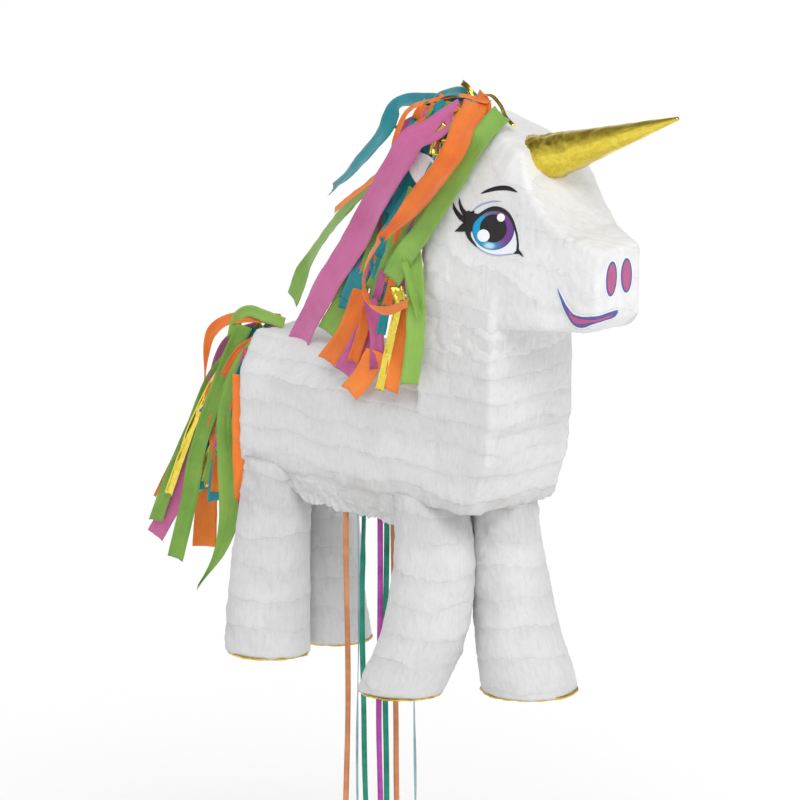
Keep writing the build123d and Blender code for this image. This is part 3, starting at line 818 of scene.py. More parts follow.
@dataclass
class BellyFringe:
    """Loose crumpled paper hanging under the belly's edge between the right legs."""

    rear: float = -98.0
    front: float = 38.0
    drop: float = 29.0
    thickness: float = 0.0005

    def build(self) -> bpy.types.Object:
        """Builds the hanging paper and returns it."""
        shape = bmesh.new()
        lap = shape.verts.layers.float_vector.new("lap")
        bmesh.ops.create_grid(shape, x_segments=150, y_segments=34, size=1.0)
        for vertex in shape.verts:
            share, down = (vertex.co.x + 1) / 2, (1 - vertex.co.y) / 2
            x = self.rear + (self.front - self.rear) * share
            ragged = waver(x * 0.05, 2.0, 0.0) + 0.5 * waver(x * 0.21, 5.0, 0.0)
            deep = (self.drop + 5.0 * ragged) * (0.55 + 0.45 * blend01(share, 0.0, 0.2))
            folds = abs(waver(x * 0.06, down * 2.2, 0.0)) + 0.5 * abs(
                waver(x * 0.16, down * 5.0, 4.0))
            vertex.co = at(x, -46.5 + 6.0 * down - 5.0 * (folds - 0.35) * min(1.0, 0.3 + down),
                           167.0 - deep * down)
            # the third value darkens the crepe more towards the bottom edge: painted shade under the belly
            vertex[lap] = (x * MM, down * 1.4, 0.55 + 0.45 * down)
        bmesh.ops.recalc_face_normals(shape, faces=shape.faces)
        return thicken(into_object("belly_fringe", shape), self.thickness, 0.0)


@dataclass
class BodySkin:
    """The crepe skin over the trunk, chest and neck, with its two openings."""

    voxel: float = 0.0021
    wall: float = 0.0006
    soften: int = 2
    release_hole: tuple[Triple, Triple] = ((-64, -22, 156), (-14, 22, 172))
    fill_hole: tuple[Triple, Triple] = ((-55, 40, 190), (-5, 56, 232))
    trunk_section: tuple[Pair, ...] = ((48, 165), (48, 241), (28, 273), (-28, 273), (-48, 241), (-48, 165))
    column_profile: tuple[Pair, ...] = ((20, 165), (133, 165), (152, 210), (155, 248), (157, 320), (157, 345),
                                        (20, 345))
    nape_plan: tuple[Pair, ...] = ((69, 48), (104, 48), (157, 48), (157, -48), (104, -48), (69, -48))
    lay: CrepeLay = CrepeLay(step=0.0007, wander=0.0065, dent=0.0012, crease=0.0008, crumple=0.0032,
                             lift=0.0014, seed=1.3)

    def chart(self, place: Vector, outward: Vector) -> tuple[float, float, float, float]:
        """Says how paper lies at a place: along, across, crumple and how much relief is kept."""
        x, y, z = place
        across = z
        if outward.z > 0.35:
            across = z + 0.75 * (48.0 - abs(y))
        elif outward.z < -0.5:
            across = z - (48.0 - abs(y))
        crumple = 0.75 * blend01(z, 180.0, 166.0) + 0.35 * blend01(z, 262.0, 290.0) * blend01(x, 118.0, 96.0)
        # the term for faces that look down also darkens their colour: painted shade on the undersides
        crumple = max(crumple, 0.30 * blend01(outward.z, -0.3, -0.8), 0.22 * blend01(x, -125.0, -145.0))
        keep = 1.0
        if outward.z < -0.5 and -74.0 < x < -4.0 and abs(y) < 32.0:
            keep = 0.0
        if outward.y > 0.5 and -64.0 < x < 4.0 and 180.0 < z < 241.0:
            keep = 0.0
        return (x - y) * MM, across * MM, crumple, keep

    def build(self) -> bpy.types.Object:
        """Builds the skin and returns it."""
        form = bmesh.new()
        add_block(form, (-145, -48, 165), (112, 48, 273), outline_cuts(self.trunk_section, 1, 2))
        add_block(form, (96, -48.5, 165), (157, 48.5, 345), outline_cuts(self.column_profile, 0, 2))
        add_block(form, (69, -48, 238), (157, 48, 345), outline_cuts(self.nape_plan, 0, 1))
        skin = weld_forms("body_crepe", form, self.voxel, self.soften)
        self.lay.cover(skin, self.chart)
        for window in (self.release_hole, self.fill_hole):
            cut_window(skin, *window)
        thicken(skin, self.wall)
        fringe, joined = BellyFringe().build(), bmesh.new()
        for part in (skin, fringe):
            joined.from_mesh(part.data)
        joined.to_mesh(skin.data)
        joined.free()
        bpy.data.objects.remove(fringe)
        return hand_over(skin, "body", WHITE_CREPE, ["body_skin"])


@dataclass
class HeadSkin:
    """The crepe skin of the head: cranium, bridge and muzzle."""

    voxel: float = 0.0017
    soften: int = 6
    cranium: tuple[Pair, ...] = ((77, 347), (116, 328), (216, 338), (214, 428), (172, 484), (110, 501),
                                 (84, 490), (68, 430))
    bridge: tuple[Pair, ...] = ((180, 334), (230, 340), (230, 419), (200, 443), (180, 460))
    nose: tuple[Pair, ...] = ((180, 334), (251, 341), (260, 351), (261, 410), (228, 420), (180, 436))
    collar: tuple[Pair, ...] = ((-48, 300), (-48, 335), (-44, 362), (44, 362), (48, 335), (48, 300))
    plan: tuple[Pair, ...] = ((64, 40), (82, 49), (185, 41), (262, 24), (262, -24), (185, -41), (82, -49),
                              (64, -40))
    front: tuple[Pair, ...] = ((-36, 326), (-49, 352), (-49, 436), (-20, 503), (20, 503), (49, 436),
                               (49, 352), (36, 326))
    lay: CrepeLay = CrepeLay(pitch=0.027, step=0.0003, wander=0.012, dent=0.0012, crease=0.0013,
                             crumple=0.0026, lift=0.0017, seed=4.7)

    def chart(self, place: Vector, outward: Vector) -> tuple[float, float, float, float]:
        """Says how paper lies at a place: along, across, crumple and how much relief is kept."""
        x, y, z = place
        across = 0.92 * z + 0.30 * x + 0.25 * abs(y)
        eye = math.hypot((x - 153.0) / 46.0, (z - 419.0) / 42.0)
        calm = blend01(eye, 0.75, 1.15) if abs(outward.y) > 0.5 else 1.0
        if outward.x > 0.6:
            calm = min(calm, 0.25 + 0.75 * blend01(math.hypot(y / 24.0, (z - 386.0) / 24.0), 0.8, 1.2))
        crumple = 0.35 * blend01(z, 352.0, 336.0) + 0.30 * blend01(x, 100.0, 74.0)
        crumple = max(crumple, 0.25 * blend01(x, 190.0, 215.0) * blend01(x, 256.0, 235.0))
        return (x - y) * MM, across * MM, crumple * calm, max(calm, 0.12)

    def build(self) -> bpy.types.Object:
        """Builds the skin and returns it."""
        form = bmesh.new()
        shared = outline_cuts(self.plan, 0, 1) + outline_cuts(self.front, 1, 2)
        for profile in (self.cranium, self.bridge, self.nose):
            add_block(form, (60, -50, 320), (264, 50, 505), outline_cuts(profile, 0, 2) + shared)
        add_block(form, (69, -49, 300), (157, 49, 362), outline_cuts(self.collar, 1, 2))
        skin = weld_forms("head_crepe", form, self.voxel, self.soften)
        self.lay.cover(skin, self.chart)
        return hand_over(skin, "body", HEAD_CREPE_PAINTED_LIGHTER, ["head_skin"])


@dataclass(frozen=True)
class Leg:
    """One leg: its stations (x, y, z, radius) from the belly to the foot, and its own wrinkles."""

    name: str
    stations: tuple[tuple[float, float, float, float], ...]
    cuff: float = 0.0
    crumple_from: float = 140.0
    seed: float = 0.0


@dataclass
class Legs:
    """Four card tubes wrapped in crepe bands, with foil-lined soles."""

    around: int = 150
    down: int = 118
    sole_thick: float = 1.5
    legs: tuple[Leg, ...] = (
        Leg("rear_right", ((-117, -28, 168, 27), (-119, -35, 82, 32), (-120, -38, 0, 35)), 0.2, 132.0, 2.1),
        Leg("rear_left", ((-115, 29, 168, 27), (-118, 31, 82, 29), (-115, 35, 0, 33)), 0.2, 140.0, 5.2),
        Leg("front_right", ((58, -22, 168, 30), (73, -32, 98, 33.5), (41, -39, -6, 35.5)), 1.0, 138.0, 8.4),
        Leg("front_left", ((104, 21, 168, 27), (106, 28, 84, 34), (121, 35, -4, 41)), 0.8, 134.0, 11.9),
    )

    @staticmethod
    def station(leg: Leg, share: float) -> tuple[Vector, float]:
        """Returns the middle and the radius of a leg at a share of its length, in millimetres."""
        (a, b, c) = (Vector(s[:3]) for s in leg.stations)
        split = (a.z - b.z) / (a.z - c.z)
        control = (b - a * (1 - split) ** 2 - c * split ** 2) / (2 * split * (1 - split))
        middle = a * (1 - share) ** 2 + control * 2 * share * (1 - share) + c * share ** 2
        ra, rb, rc = (s[3] for s in leg.stations)
        wide = (rb - ra * (1 - split) ** 2 - rc * split ** 2) / (2 * split * (1 - split))
        return middle, ra * (1 - share) ** 2 + wide * 2 * share * (1 - share) + rc * share ** 2

    def tube(self, leg: Leg) -> bpy.types.Object:
        """Builds one leg's crepe tube, closed at both ends."""
        shape = bmesh.new()
        bmesh.ops.create_grid(shape, x_segments=self.around, y_segments=self.down, size=1.0)
        for vertex in shape.verts:
            angle, share = math.pi * (vertex.co.x + 1), (vertex.co.y + 1) / 2
            middle, radius = self.station(leg, share)
            flat = 1.0 - 0.035 * math.cos(2 * angle + leg.seed) - 0.02 * math.cos(3 * angle + 2 * leg.seed)
            vertex.co = at(*(middle + Vector((math.cos(angle), math.sin(angle), 0.0)) * radius * flat))
        bmesh.ops.remove_doubles(shape, verts=shape.verts, dist=1e-5)
        bmesh.ops.holes_fill(shape, edges=[edge for edge in shape.edges if edge.is_boundary], sides=0)
        bmesh.ops.recalc_face_normals(shape, faces=shape.faces)
        return into_object(f"leg_{leg.name}_crepe", shape)

    def chart_for(self, leg: Leg) -> Chart:
        """Returns the chart of one leg's paper bands."""
        top, foot = leg.stations[0], leg.stations[-1]

        def chart(place: Vector, outward: Vector) -> tuple[float, float, float, float]:
            """Says how paper lies at a place on this leg."""
            share = (top[2] - place.z) / (top[2] - foot[2])
            middle, radius = self.station(leg, min(max(share, 0.0), 1.0))
            angle = math.atan2(place.y - middle.y, place.x - middle.x)
            across = place.z + 0.07 * radius * math.sin(angle + leg.seed)
            crumple = 0.10 + 0.62 * blend01(place.z, leg.crumple_from - 22.0, leg.crumple_from + 14.0)
            crumple += 0.30 * blend01(noise.noise(place * 0.02 + Vector((leg.seed, 0, 0))), 0.05, 0.45)
            keep = 1.0 if abs(outward.z) < 0.8 else 0.0
            cuff = leg.cuff * blend01(place.z, foot[2] + 27.0, foot[2] + 24.0)
            return angle * radius * MM, across * MM, min(crumple, 1.0), keep * (1.0 + 0.55 * cuff)

        return chart

    def sole(self, leg: Leg) -> bpy.types.Object:
        """Builds one foil-faced sole with a ragged rim."""
        x, y, z, radius = leg.stations[-1]
        disc = bmesh.new()
        bmesh.ops.create_circle(disc, cap_ends=True, segments=110, radius=(radius + 0.4) * MM)
        bmesh.ops.translate(disc, vec=at(x, y, z - 0.2), verts=disc.verts)
        pushed = bmesh.ops.extrude_face_region(disc, geom=disc.faces[:])
        lower = [item for item in pushed["geom"] if isinstance(item, bmesh.types.BMVert)]
        bmesh.ops.translate(disc, vec=(0.0, 0.0, -self.sole_thick * MM), verts=lower)
        bmesh.ops.inset_region(disc, faces=[face for face in disc.faces if len(face.verts) > 4],
                               thickness=0.006, use_even_offset=True)
        middle = at(x, y, z)
        for vertex in disc.verts:
            arm = Vector((vertex.co.x - middle.x, vertex.co.y - middle.y, 0.0))
            ragged = noise.noise(vertex.co * 90.0 + Vector((leg.seed, 0, 0)))
            if arm.length > radius * MM:
                vertex.co += arm.normalized() * 0.0021 * max(ragged, -0.3)
            vertex.co.z += 0.0006 * noise.noise(Vector((vertex.co.x, vertex.co.y, leg.seed)) * 120.0)
        bmesh.ops.recalc_face_normals(disc, faces=disc.faces)
        return into_object(f"sole_{leg.name}_foil", disc, smooth=False)

    def build(self) -> None:
        """Builds the legs and their soles."""
        for leg in self.legs:
            lay = CrepeLay(pitch=0.0265, step=0.0005, wander=0.0075, dent=0.0014, crease=0.0009,
                           crumple=0.0036, lift=0.0002, seed=leg.seed)
            tube = lay.cover(self.tube(leg), self.chart_for(leg))
            hand_over(tube, "body", LEG_CREPE_PAINTED_DARKER, [f"leg_{leg.name}"])
            hand_over(self.sole(leg), "body", SOLE_FOIL, [f"sole_{leg.name}"])


@dataclass
class Horn:
    """The horn: crumpled gold foil over a card cone."""

    base: Triple = (174.0, 0.0, 474.0)
    tip: Triple = (331.0, 0.0, 535.5)
    radius: float = 19.8
    root: float = 14.0
    around: int = 72
    along: int = 90

    def build(self) -> None:
        """Builds the foil cone with its folds and pinched tip."""
        base, tip = at(*self.base), at(*self.tip)
        axis = (tip - base).normalized()
        start = base - axis * self.root * MM
        length = (tip - start).length
        wide = self.radius * MM * length / (tip - base).length
        side = Vector((0.0, 1.0, 0.0))
        up = axis.cross(side)
        shape = bmesh.new()
        bmesh.ops.create_grid(shape, x_segments=self.around, y_segments=self.along, size=1.0)
        for vertex in shape.verts:
            angle, share = math.pi * (vertex.co.x + 1), (vertex.co.y + 1) / 2
            ring = Vector((math.cos(angle), math.sin(angle), 0.0))
            radius = wide * (1 - share) + 0.0016 * share
            fold = waver(ring.x * 1.6, ring.y * 1.6, share * 9.0)
            facet = waver(ring.x * 4.2, ring.y * 4.2, share * 30.0)
            near = blend01(share, 0.45, 0.10)
            relief = 0.0003 + 0.0016 * abs(fold) + (0.0002 + 0.0016 * near) * abs(facet)
            radius += relief * (1 - share) ** 0.6
            vertex.co = start + axis * length * share + (side * ring.x + up * ring.y) * max(radius, 0.0008)
        bmesh.ops.remove_doubles(shape, verts=shape.verts, dist=1e-6)
        bmesh.ops.holes_fill(shape, edges=[edge for edge in shape.edges if edge.is_boundary], sides=0)
        bmesh.ops.recalc_face_normals(shape, faces=shape.faces)
        hand_over(into_object("horn_foil_wrap", shape), "body", GOLD_FOIL, ["horn_foil"])


@dataclass
class Ears:
    """Two folded paper ears set behind the eyes."""

    half_width: float = 18.0
    length: float = 54.0
    sink: float = 8.0
    root: Triple = (86.0, 41.0, 446.0)
    slope: Triple = (-0.84, 0.10, 0.50)
    thickness: float = 0.0007

    def build(self) -> None:
        """Builds both ears as cupped leaves of paper."""
        for name, turn in (("right", RIGHT), ("left", LEFT)):
            root, along = Vector(self.root), Vector(self.slope)
            root.y, along.y = self.root[1] * turn, self.slope[1] * turn
            along.normalize()
            normal = along.cross(Vector((0.2, 0.0, 1.0))).normalized()
            if normal.y * turn < 0:
                normal.negate()
            across = normal.cross(along)
            leaf = bmesh.new()
            bmesh.ops.create_grid(leaf, x_segments=18, y_segments=30, size=1.0)
            for vertex in leaf.verts:
                side, share = vertex.co.x, (vertex.co.y + 1) / 2
                width = self.half_width * (0.55 + 0.45 * blend01(share, 0.0, 0.5)) * (1 - share ** 2.2)
                place = root + along * (self.length * share - self.sink) + across * side * max(width, 0.4)
                place -= normal * (5.0 * (1 - side * side) * (1 - share) - 2.0)
                place += normal * 0.7 * waver(side * 2.0, share * 5.0, turn * 3.0)
                vertex.co = at(*place)
            bmesh.ops.recalc_face_normals(leaf, faces=leaf.faces)
            piece = thicken(into_object(f"ear_{name}_leaf", leaf), self.thickness, 0.0)
            hand_over(piece, "body", EAR_PAPER, [f"ear_{name}"])


@dataclass
class FaceStickers:
    """Printed paper pieces glued on the head: eyes, lashes, brows, nostrils and the smile."""

    head: bpy.types.Object
    eye: Pair = (155.0, 417.0)
    lean: float = 0.161
    cell: float = 1.6
    thickness: float = 0.00012
    sclera: tuple[Pair, ...] = (
        (-27, 10.2), (-17.6, 11.6), (-10.6, 15.6), (-2, 20), (7.2, 21.4), (16.4, 19.2), (23.4, 12.4),
        (28.5, 0),
        (30.2, -14.5), (27.5, -18.4), (18, -20.4), (7.2, -22.9), (-7.2, -23.6), (-18.6, -19.4), (-27.6, -9.6))
    lid: tuple[Pair, ...] = (
        (-30, 10.5), (-17.2, 10.4), (-10.5, 14.5), (-1.7, 19.2), (7.2, 20.6), (16.1, 18.4), (22.8, 12),
        (27.8, -0.3),
        (29, -13.3), (27.3, -13.7), (25.9, -1.6), (20.4, 10.1), (13.2, 15.6), (5, 16.6), (-3.9, 14.7),
        (-11.7, 10.4),
        (-19.4, 3.4), (-23.3, -3.3), (-23.9, -10.4), (-17.2, -18.1), (-21.6, -16.6), (-30, -8.8))
    lashes: tuple[tuple[Pair, ...], ...] = (
        ((-20.5, 12.9), (-25.5, 10.8), (-30.0, 7.0), (-33.9, 2.9),
         (-32.7, -1.1), (-31.1, -7.0), (-26.9, -8.5), (-22.8, -5.4)),
        ((-24.4, 10.7), (-28.9, 10.2), (-32.5, 12.7), (-35.2, 16.4), (-37.2, 22.0),
         (-38.0, 16.2), (-36.4, 11.0), (-33.6, 7.1), (-30.5, 4.3)),
        ((-30.0, 5.7), (-34.4, 6.7), (-38.3, 9.4), (-41.1, 12.4), (-43.3, 16.9),
         (-43.6, 10.9), (-41.3, 6.3), (-37.7, 2.7), (-32.7, 0.4)),
        ((-30.5, 1.2), (-33.9, -0.6), (-36.9, -3.5), (-39.1, -5.9), (-42.2, -8.8),
         (-36.4, -8.1), (-31.1, -7.2), (-26.9, -8.3), (-23.9, -5.2)))
    under: tuple[Pair, ...] = (
        (-26.1, -9), (-17.2, -17.7), (-6.1, -21.6), (7.2, -21.2), (25, -16.8), (25, -17.8), (7.2, -22.3),
        (-6.7, -22.7), (-18.3, -18.9), (-27.2, -10.1))
    tick: tuple[Pair, ...] = ((26.8, -8.4), (28.9, -12.9), (34.4, -19), (29.4, -17.2), (22.8, -17.8),
                              (26.1, -14.6))
    crease: tuple[Pair, ...] = (
        (-22.8, 12.1), (-18.3, 16.8), (-11.7, 20.5), (-5, 23.1), (1.7, 25), (10, 25.4), (1.7, 23.7),
        (-5, 21.7),
        (-11.7, 18.9), (-18.3, 15))
    brow: tuple[Pair, ...] = (
        (-13.9, 28.4), (-8.3, 32.8), (-0.6, 36.3), (7.2, 38.6), (15, 39.6), (21.6, 39), (27.8, 36.4),
        (19.4, 36.2),
        (11.7, 35.4), (3.9, 33.9), (-3.9, 31.6))
    smile: tuple[Pair, ...] = (
        (61.3, 377), (53.3, 362.8), (46.2, 355.8), (39, 354.6), (32.1, 355), (21.5, 357.3), (10, 358),
        (2.3, 358.4),
        (4.7, 352.8), (14, 352), (24, 350.8), (30.5, 347.5), (37.1, 345), (45.2, 346.4), (52.3, 353.3),
        (57.3, 364))
    far_smile: tuple[Pair, ...] = (
        (61.3, 377), (53.3, 362.8), (46.2, 355.8), (39, 354.6), (36, 354.8), (36, 346), (45.2, 346.4),
        (52.3, 353.3), (57.3, 364))
    lip: tuple[Pair, ...] = (
        (50.5, 359.5), (46.5, 354.2), (40, 352.6), (31, 352.8), (20, 354.6), (9, 355.8), (10.5, 354.3),
        (21, 352.6),
        (31, 349.8), (38, 347.6), (45, 349), (49.8, 354))

    def __post_init__(self) -> None:
        """Readies the head for finding where a sticker touches it."""
        self.surface = BVHTree.FromObject(self.head, bpy.context.evaluated_depsgraph_get())

    @staticmethod
    def rounded(outline: Sequence[Pair], steps: int = 4) -> list[Pair]:
        """Returns a closed outline with smooth curves through its points."""
        count, found = len(outline), []
        for i in range(count):
            a, b, c, d = (Vector(outline[(i + k) % count]) for k in (-1, 0, 1, 2))
            for k in range(steps):
                found.append(tuple(on_curve(a, b, c, d, k / steps)))
        return found

    def oval(self, middle: Pair, half_wide: float, half_high: float) -> list[Pair]:
        """Returns an oval that leans with the cheek."""
        return [(middle[0] + half_wide * math.cos(a),
                 middle[1] + self.lean * half_wide * math.cos(a) + half_high * math.sin(a))
                for a in (math.tau * i / 48 for i in range(48))]

    def add_layer(self, sheet: bmesh.types.BMesh, outline: Sequence[Pair],
                  ray: Callable[[Pair], tuple[Vector, Vector]],
                  level: float, number: int) -> None:
        """Adds one cut paper or ink layer, laid on the head.

        Args:
            sheet: the bmesh that gets the layer.
            outline: the cut line, in two flat coordinates.
            ray: gives the start and the direction of the line along which a point is pressed on.
            level: how far the layer stands off the head, in metres.
            number: the layer's material number.
        """
        layers = sheet.verts.layers.float_vector
        lap = layers.get("lap") or layers.new("lap")
        layer = bmesh.new()
        layer.faces.new([layer.verts.new((u, v, 0.0)) for u, v in outline])
        low = Vector((min(u for u, _ in outline), min(v for _, v in outline)))
        high = Vector((max(u for u, _ in outline), max(v for _, v in outline)))
        bmesh.ops.triangulate(layer, faces=layer.faces)
        for axis in (0, 1):
            place = low[axis] + self.cell
            while place < high[axis]:
                point, direction = Vector((0, 0, 0)), Vector((0, 0, 0))
                point[axis], direction[axis] = place, 1.0
                bmesh.ops.bisect_plane(layer, geom=layer.verts[:] + layer.edges[:] + layer.faces[:],
                                       plane_co=point, plane_no=direction, dist=1e-5)
                place += self.cell
        fresh = {}
        middle, half = (low + high) / 2, (high - low) / 2
        for vertex in layer.verts:
            start, direction = ray((vertex.co.x, vertex.co.y))
            hit = self.surface.ray_cast(start, direction)[0]
            if hit is None:
                hit = self.surface.find_nearest(start + direction * 0.05)[0]
            made = sheet.verts.new(hit - direction * level)
            over = (vertex.co.x - middle.x) / half.x
            made[lap] = (over, (vertex.co.y - middle.y - self.lean * (vertex.co.x - middle.x)) / half.y, 0.0)
            fresh[vertex] = made
        for face in layer.faces:
            copy = sheet.faces.new([fresh[vertex] for vertex in face.verts])
            copy.material_index = number
            copy.normal_update()
            start, direction = ray((face.verts[0].co.x, face.verts[0].co.y))
            if copy.normal.dot(direction) > 0:
                copy.normal_flip()
        layer.free()

    def finish_sheet(self, name: str, sheet: bmesh.types.BMesh, finishes: Sequence[Finish],
                     nodes: Sequence[str]) -> None:
        """Gives a sheet of layers its thickness and hands it over."""
        piece = into_object(name, sheet)
        dress(piece, finishes)
        hand_over(thicken(piece, self.thickness), "body", finishes, nodes)

    def side_ray(self, turn: int) -> Callable[[Pair], tuple[Vector, Vector]]:
        """Returns the ray maker for a side of the head, in millimetres from the iris."""
        return lambda uv: (at(self.eye[0] + uv[0], 90.0 * turn, self.eye[1] + uv[1]),
                           Vector((0.0, -turn, 0.0)))

    def build_eye(self, name: str, turn: int) -> None:
        """Builds one eye with its lashes, lid, crease and brow."""
        ray = self.side_ray(turn)
        iris = self.oval((0.3, 0.0), 23.3, 18.2)
        sheet = bmesh.new()
        glints = [self.oval((-10.0, -7.3), 6.9, 5.5), self.oval((9.4, 11.6), 4.4, 3.6)]
        for outline, level, number in ((self.rounded(self.sclera), 0.25, 0),
                                       (self.rounded(self.under, 2), 0.42, 4),
                                       (iris, 0.50, 1), (self.oval((0.6, 0.6), 14.8, 12.2), 0.75, 2),
                                       (glints[0], 1.0, 3), (glints[1], 1.0, 3)):
            self.add_layer(sheet, outline, ray, level * MM, number)
        self.finish_sheet(f"eye_{name}_print", sheet,
                          [SCLERA, IRIS, BLACK_INK, GLINT, SOFT_INK],
                          [f"eye_{name}"])
        sheet = bmesh.new()
        self.add_layer(sheet, self.rounded(self.lid, 3), ray, 0.85 * MM, 0)
        for step, outline in enumerate(self.lashes):
            self.add_layer(sheet, outline, ray, (0.50 + 0.05 * step) * MM, 0)
        self.add_layer(sheet, self.rounded(self.tick, 2), ray, 0.80 * MM, 0)
        self.finish_sheet(f"lash_{name}_print", sheet, [BLACK_INK], [f"lash_{name}"])
        sheet = bmesh.new()
        self.add_layer(sheet, self.rounded(self.brow, 3), ray, 0.30 * MM, 0)
        self.add_layer(sheet, self.rounded(self.crease, 2), ray, 0.28 * MM, 1)
        self.finish_sheet(f"brow_{name}_print", sheet, [BLACK_INK, SOFT_INK],
                          [f"brow_{name}"])

    def build_nostrils(self) -> None:
        """Builds both nostrils, each a pink oval in a violet line on a pale rim."""
        def ray(uv: Pair) -> tuple[Vector, Vector]:
            """Presses a point back on the front of the nose."""
            return at(300.0, uv[0], 386.0 + uv[1]), Vector((-1.0, 0.0, 0.0))

        sheet = bmesh.new()
        for y, lean in ((-9.0, 0.03), (9.0, -0.03)):
            for wide, high, level, number in ((8.3, 17.2, 0.25, 0), (6.6, 15.2, 0.45, 1),
                                              (5.1, 13.4, 0.62, 2)):
                outline = [(y + wide * math.cos(a) + lean * high * math.sin(a), high * math.sin(a))
                           for a in (math.tau * i / 40 for i in range(40))]
                self.add_layer(sheet, outline, ray, level * MM, number)
        self.finish_sheet("nostril_print", sheet, [PALE_RIM, VIOLET_INK, PINK_INK],
                          ["nostrils"])

    def build_smile(self) -> None:
        """Builds the smile, bent round the corner of the muzzle."""
        def ray_for(turn: int) -> Callable[[Pair], tuple[Vector, Vector]]:
            """Returns the ray maker for one side, from the distance round the muzzle and the height."""
            def ray(uv: Pair) -> tuple[Vector, Vector]:
                """Presses a point on the front, or on the side past the corner."""
                past = blend01(uv[0], 18.0, 30.0)
                beyond = max(uv[0] - 24.0, 0.0)
                touch = at(260.0 - beyond * 0.976, turn * (min(uv[0], 24.0) + beyond * 0.21), uv[1])
                inward = Vector((past - 1.0, -turn * past, 0.12)).normalized()
                return touch - inward * 0.02, inward
            return ray

        sheet = bmesh.new()
        for turn, line in ((RIGHT, self.smile), (LEFT, self.far_smile)):
            for grow, level, number in ((1.4, 0.75, 0), (0.0, 1.10, 1)):
                self.add_layer(sheet, self.grown(self.rounded(line, 2), grow), ray_for(turn), level * MM,
                               number)
        self.add_layer(sheet, self.rounded(self.lip, 2), ray_for(RIGHT), 1.45 * MM, 2)
        self.finish_sheet("smile_print", sheet, [PALE_RIM, VIOLET_INK, PINK_INK], ["mouth"])

    @staticmethod
    def grown(outline: Sequence[Pair], amount: float) -> list[Pair]:
        """Returns an outline moved outwards, or inwards where amount is below zero."""
        count = len(outline)
        area = sum(outline[i][0] * outline[(i + 1) % count][1] - outline[(i + 1) % count][0] * outline[i][1]
                   for i in range(count))
        found = []
        for i in range(count):
            before, after = Vector(outline[i - 1]), Vector(outline[(i + 1) % count])
            tangent = (after - before).normalized()
            outward = Vector((tangent.y, -tangent.x)) * (1 if area > 0 else -1)
            found.append(tuple(Vector(outline[i]) + outward * amount))
        return found

    def build(self) -> None:
        """Builds every sticker."""
        for name, turn in (("right", RIGHT), ("left", LEFT)):
            self.build_eye(name, turn)
        self.build_nostrils()
        self.build_smile()


class Lie(Enum):
    """Which way a streamer's flat side faces."""

    LOW = (0.30, -0.50, 0.80)
    MID = (0.38, -0.80, 0.48)
    FLAT = (0.55, -0.83, 0.10)
    STEEP = (0.45, -0.78, 0.45)
    EDGE = (0.80, 0.45, 0.25)


@dataclass(frozen=True)
class Strip:
    """One streamer, in millimetres: its width, facing and route, and the share of the width at its end."""

    width: float
    lie: Lie
    route: tuple[Triple, ...]
    end: float = 1.0


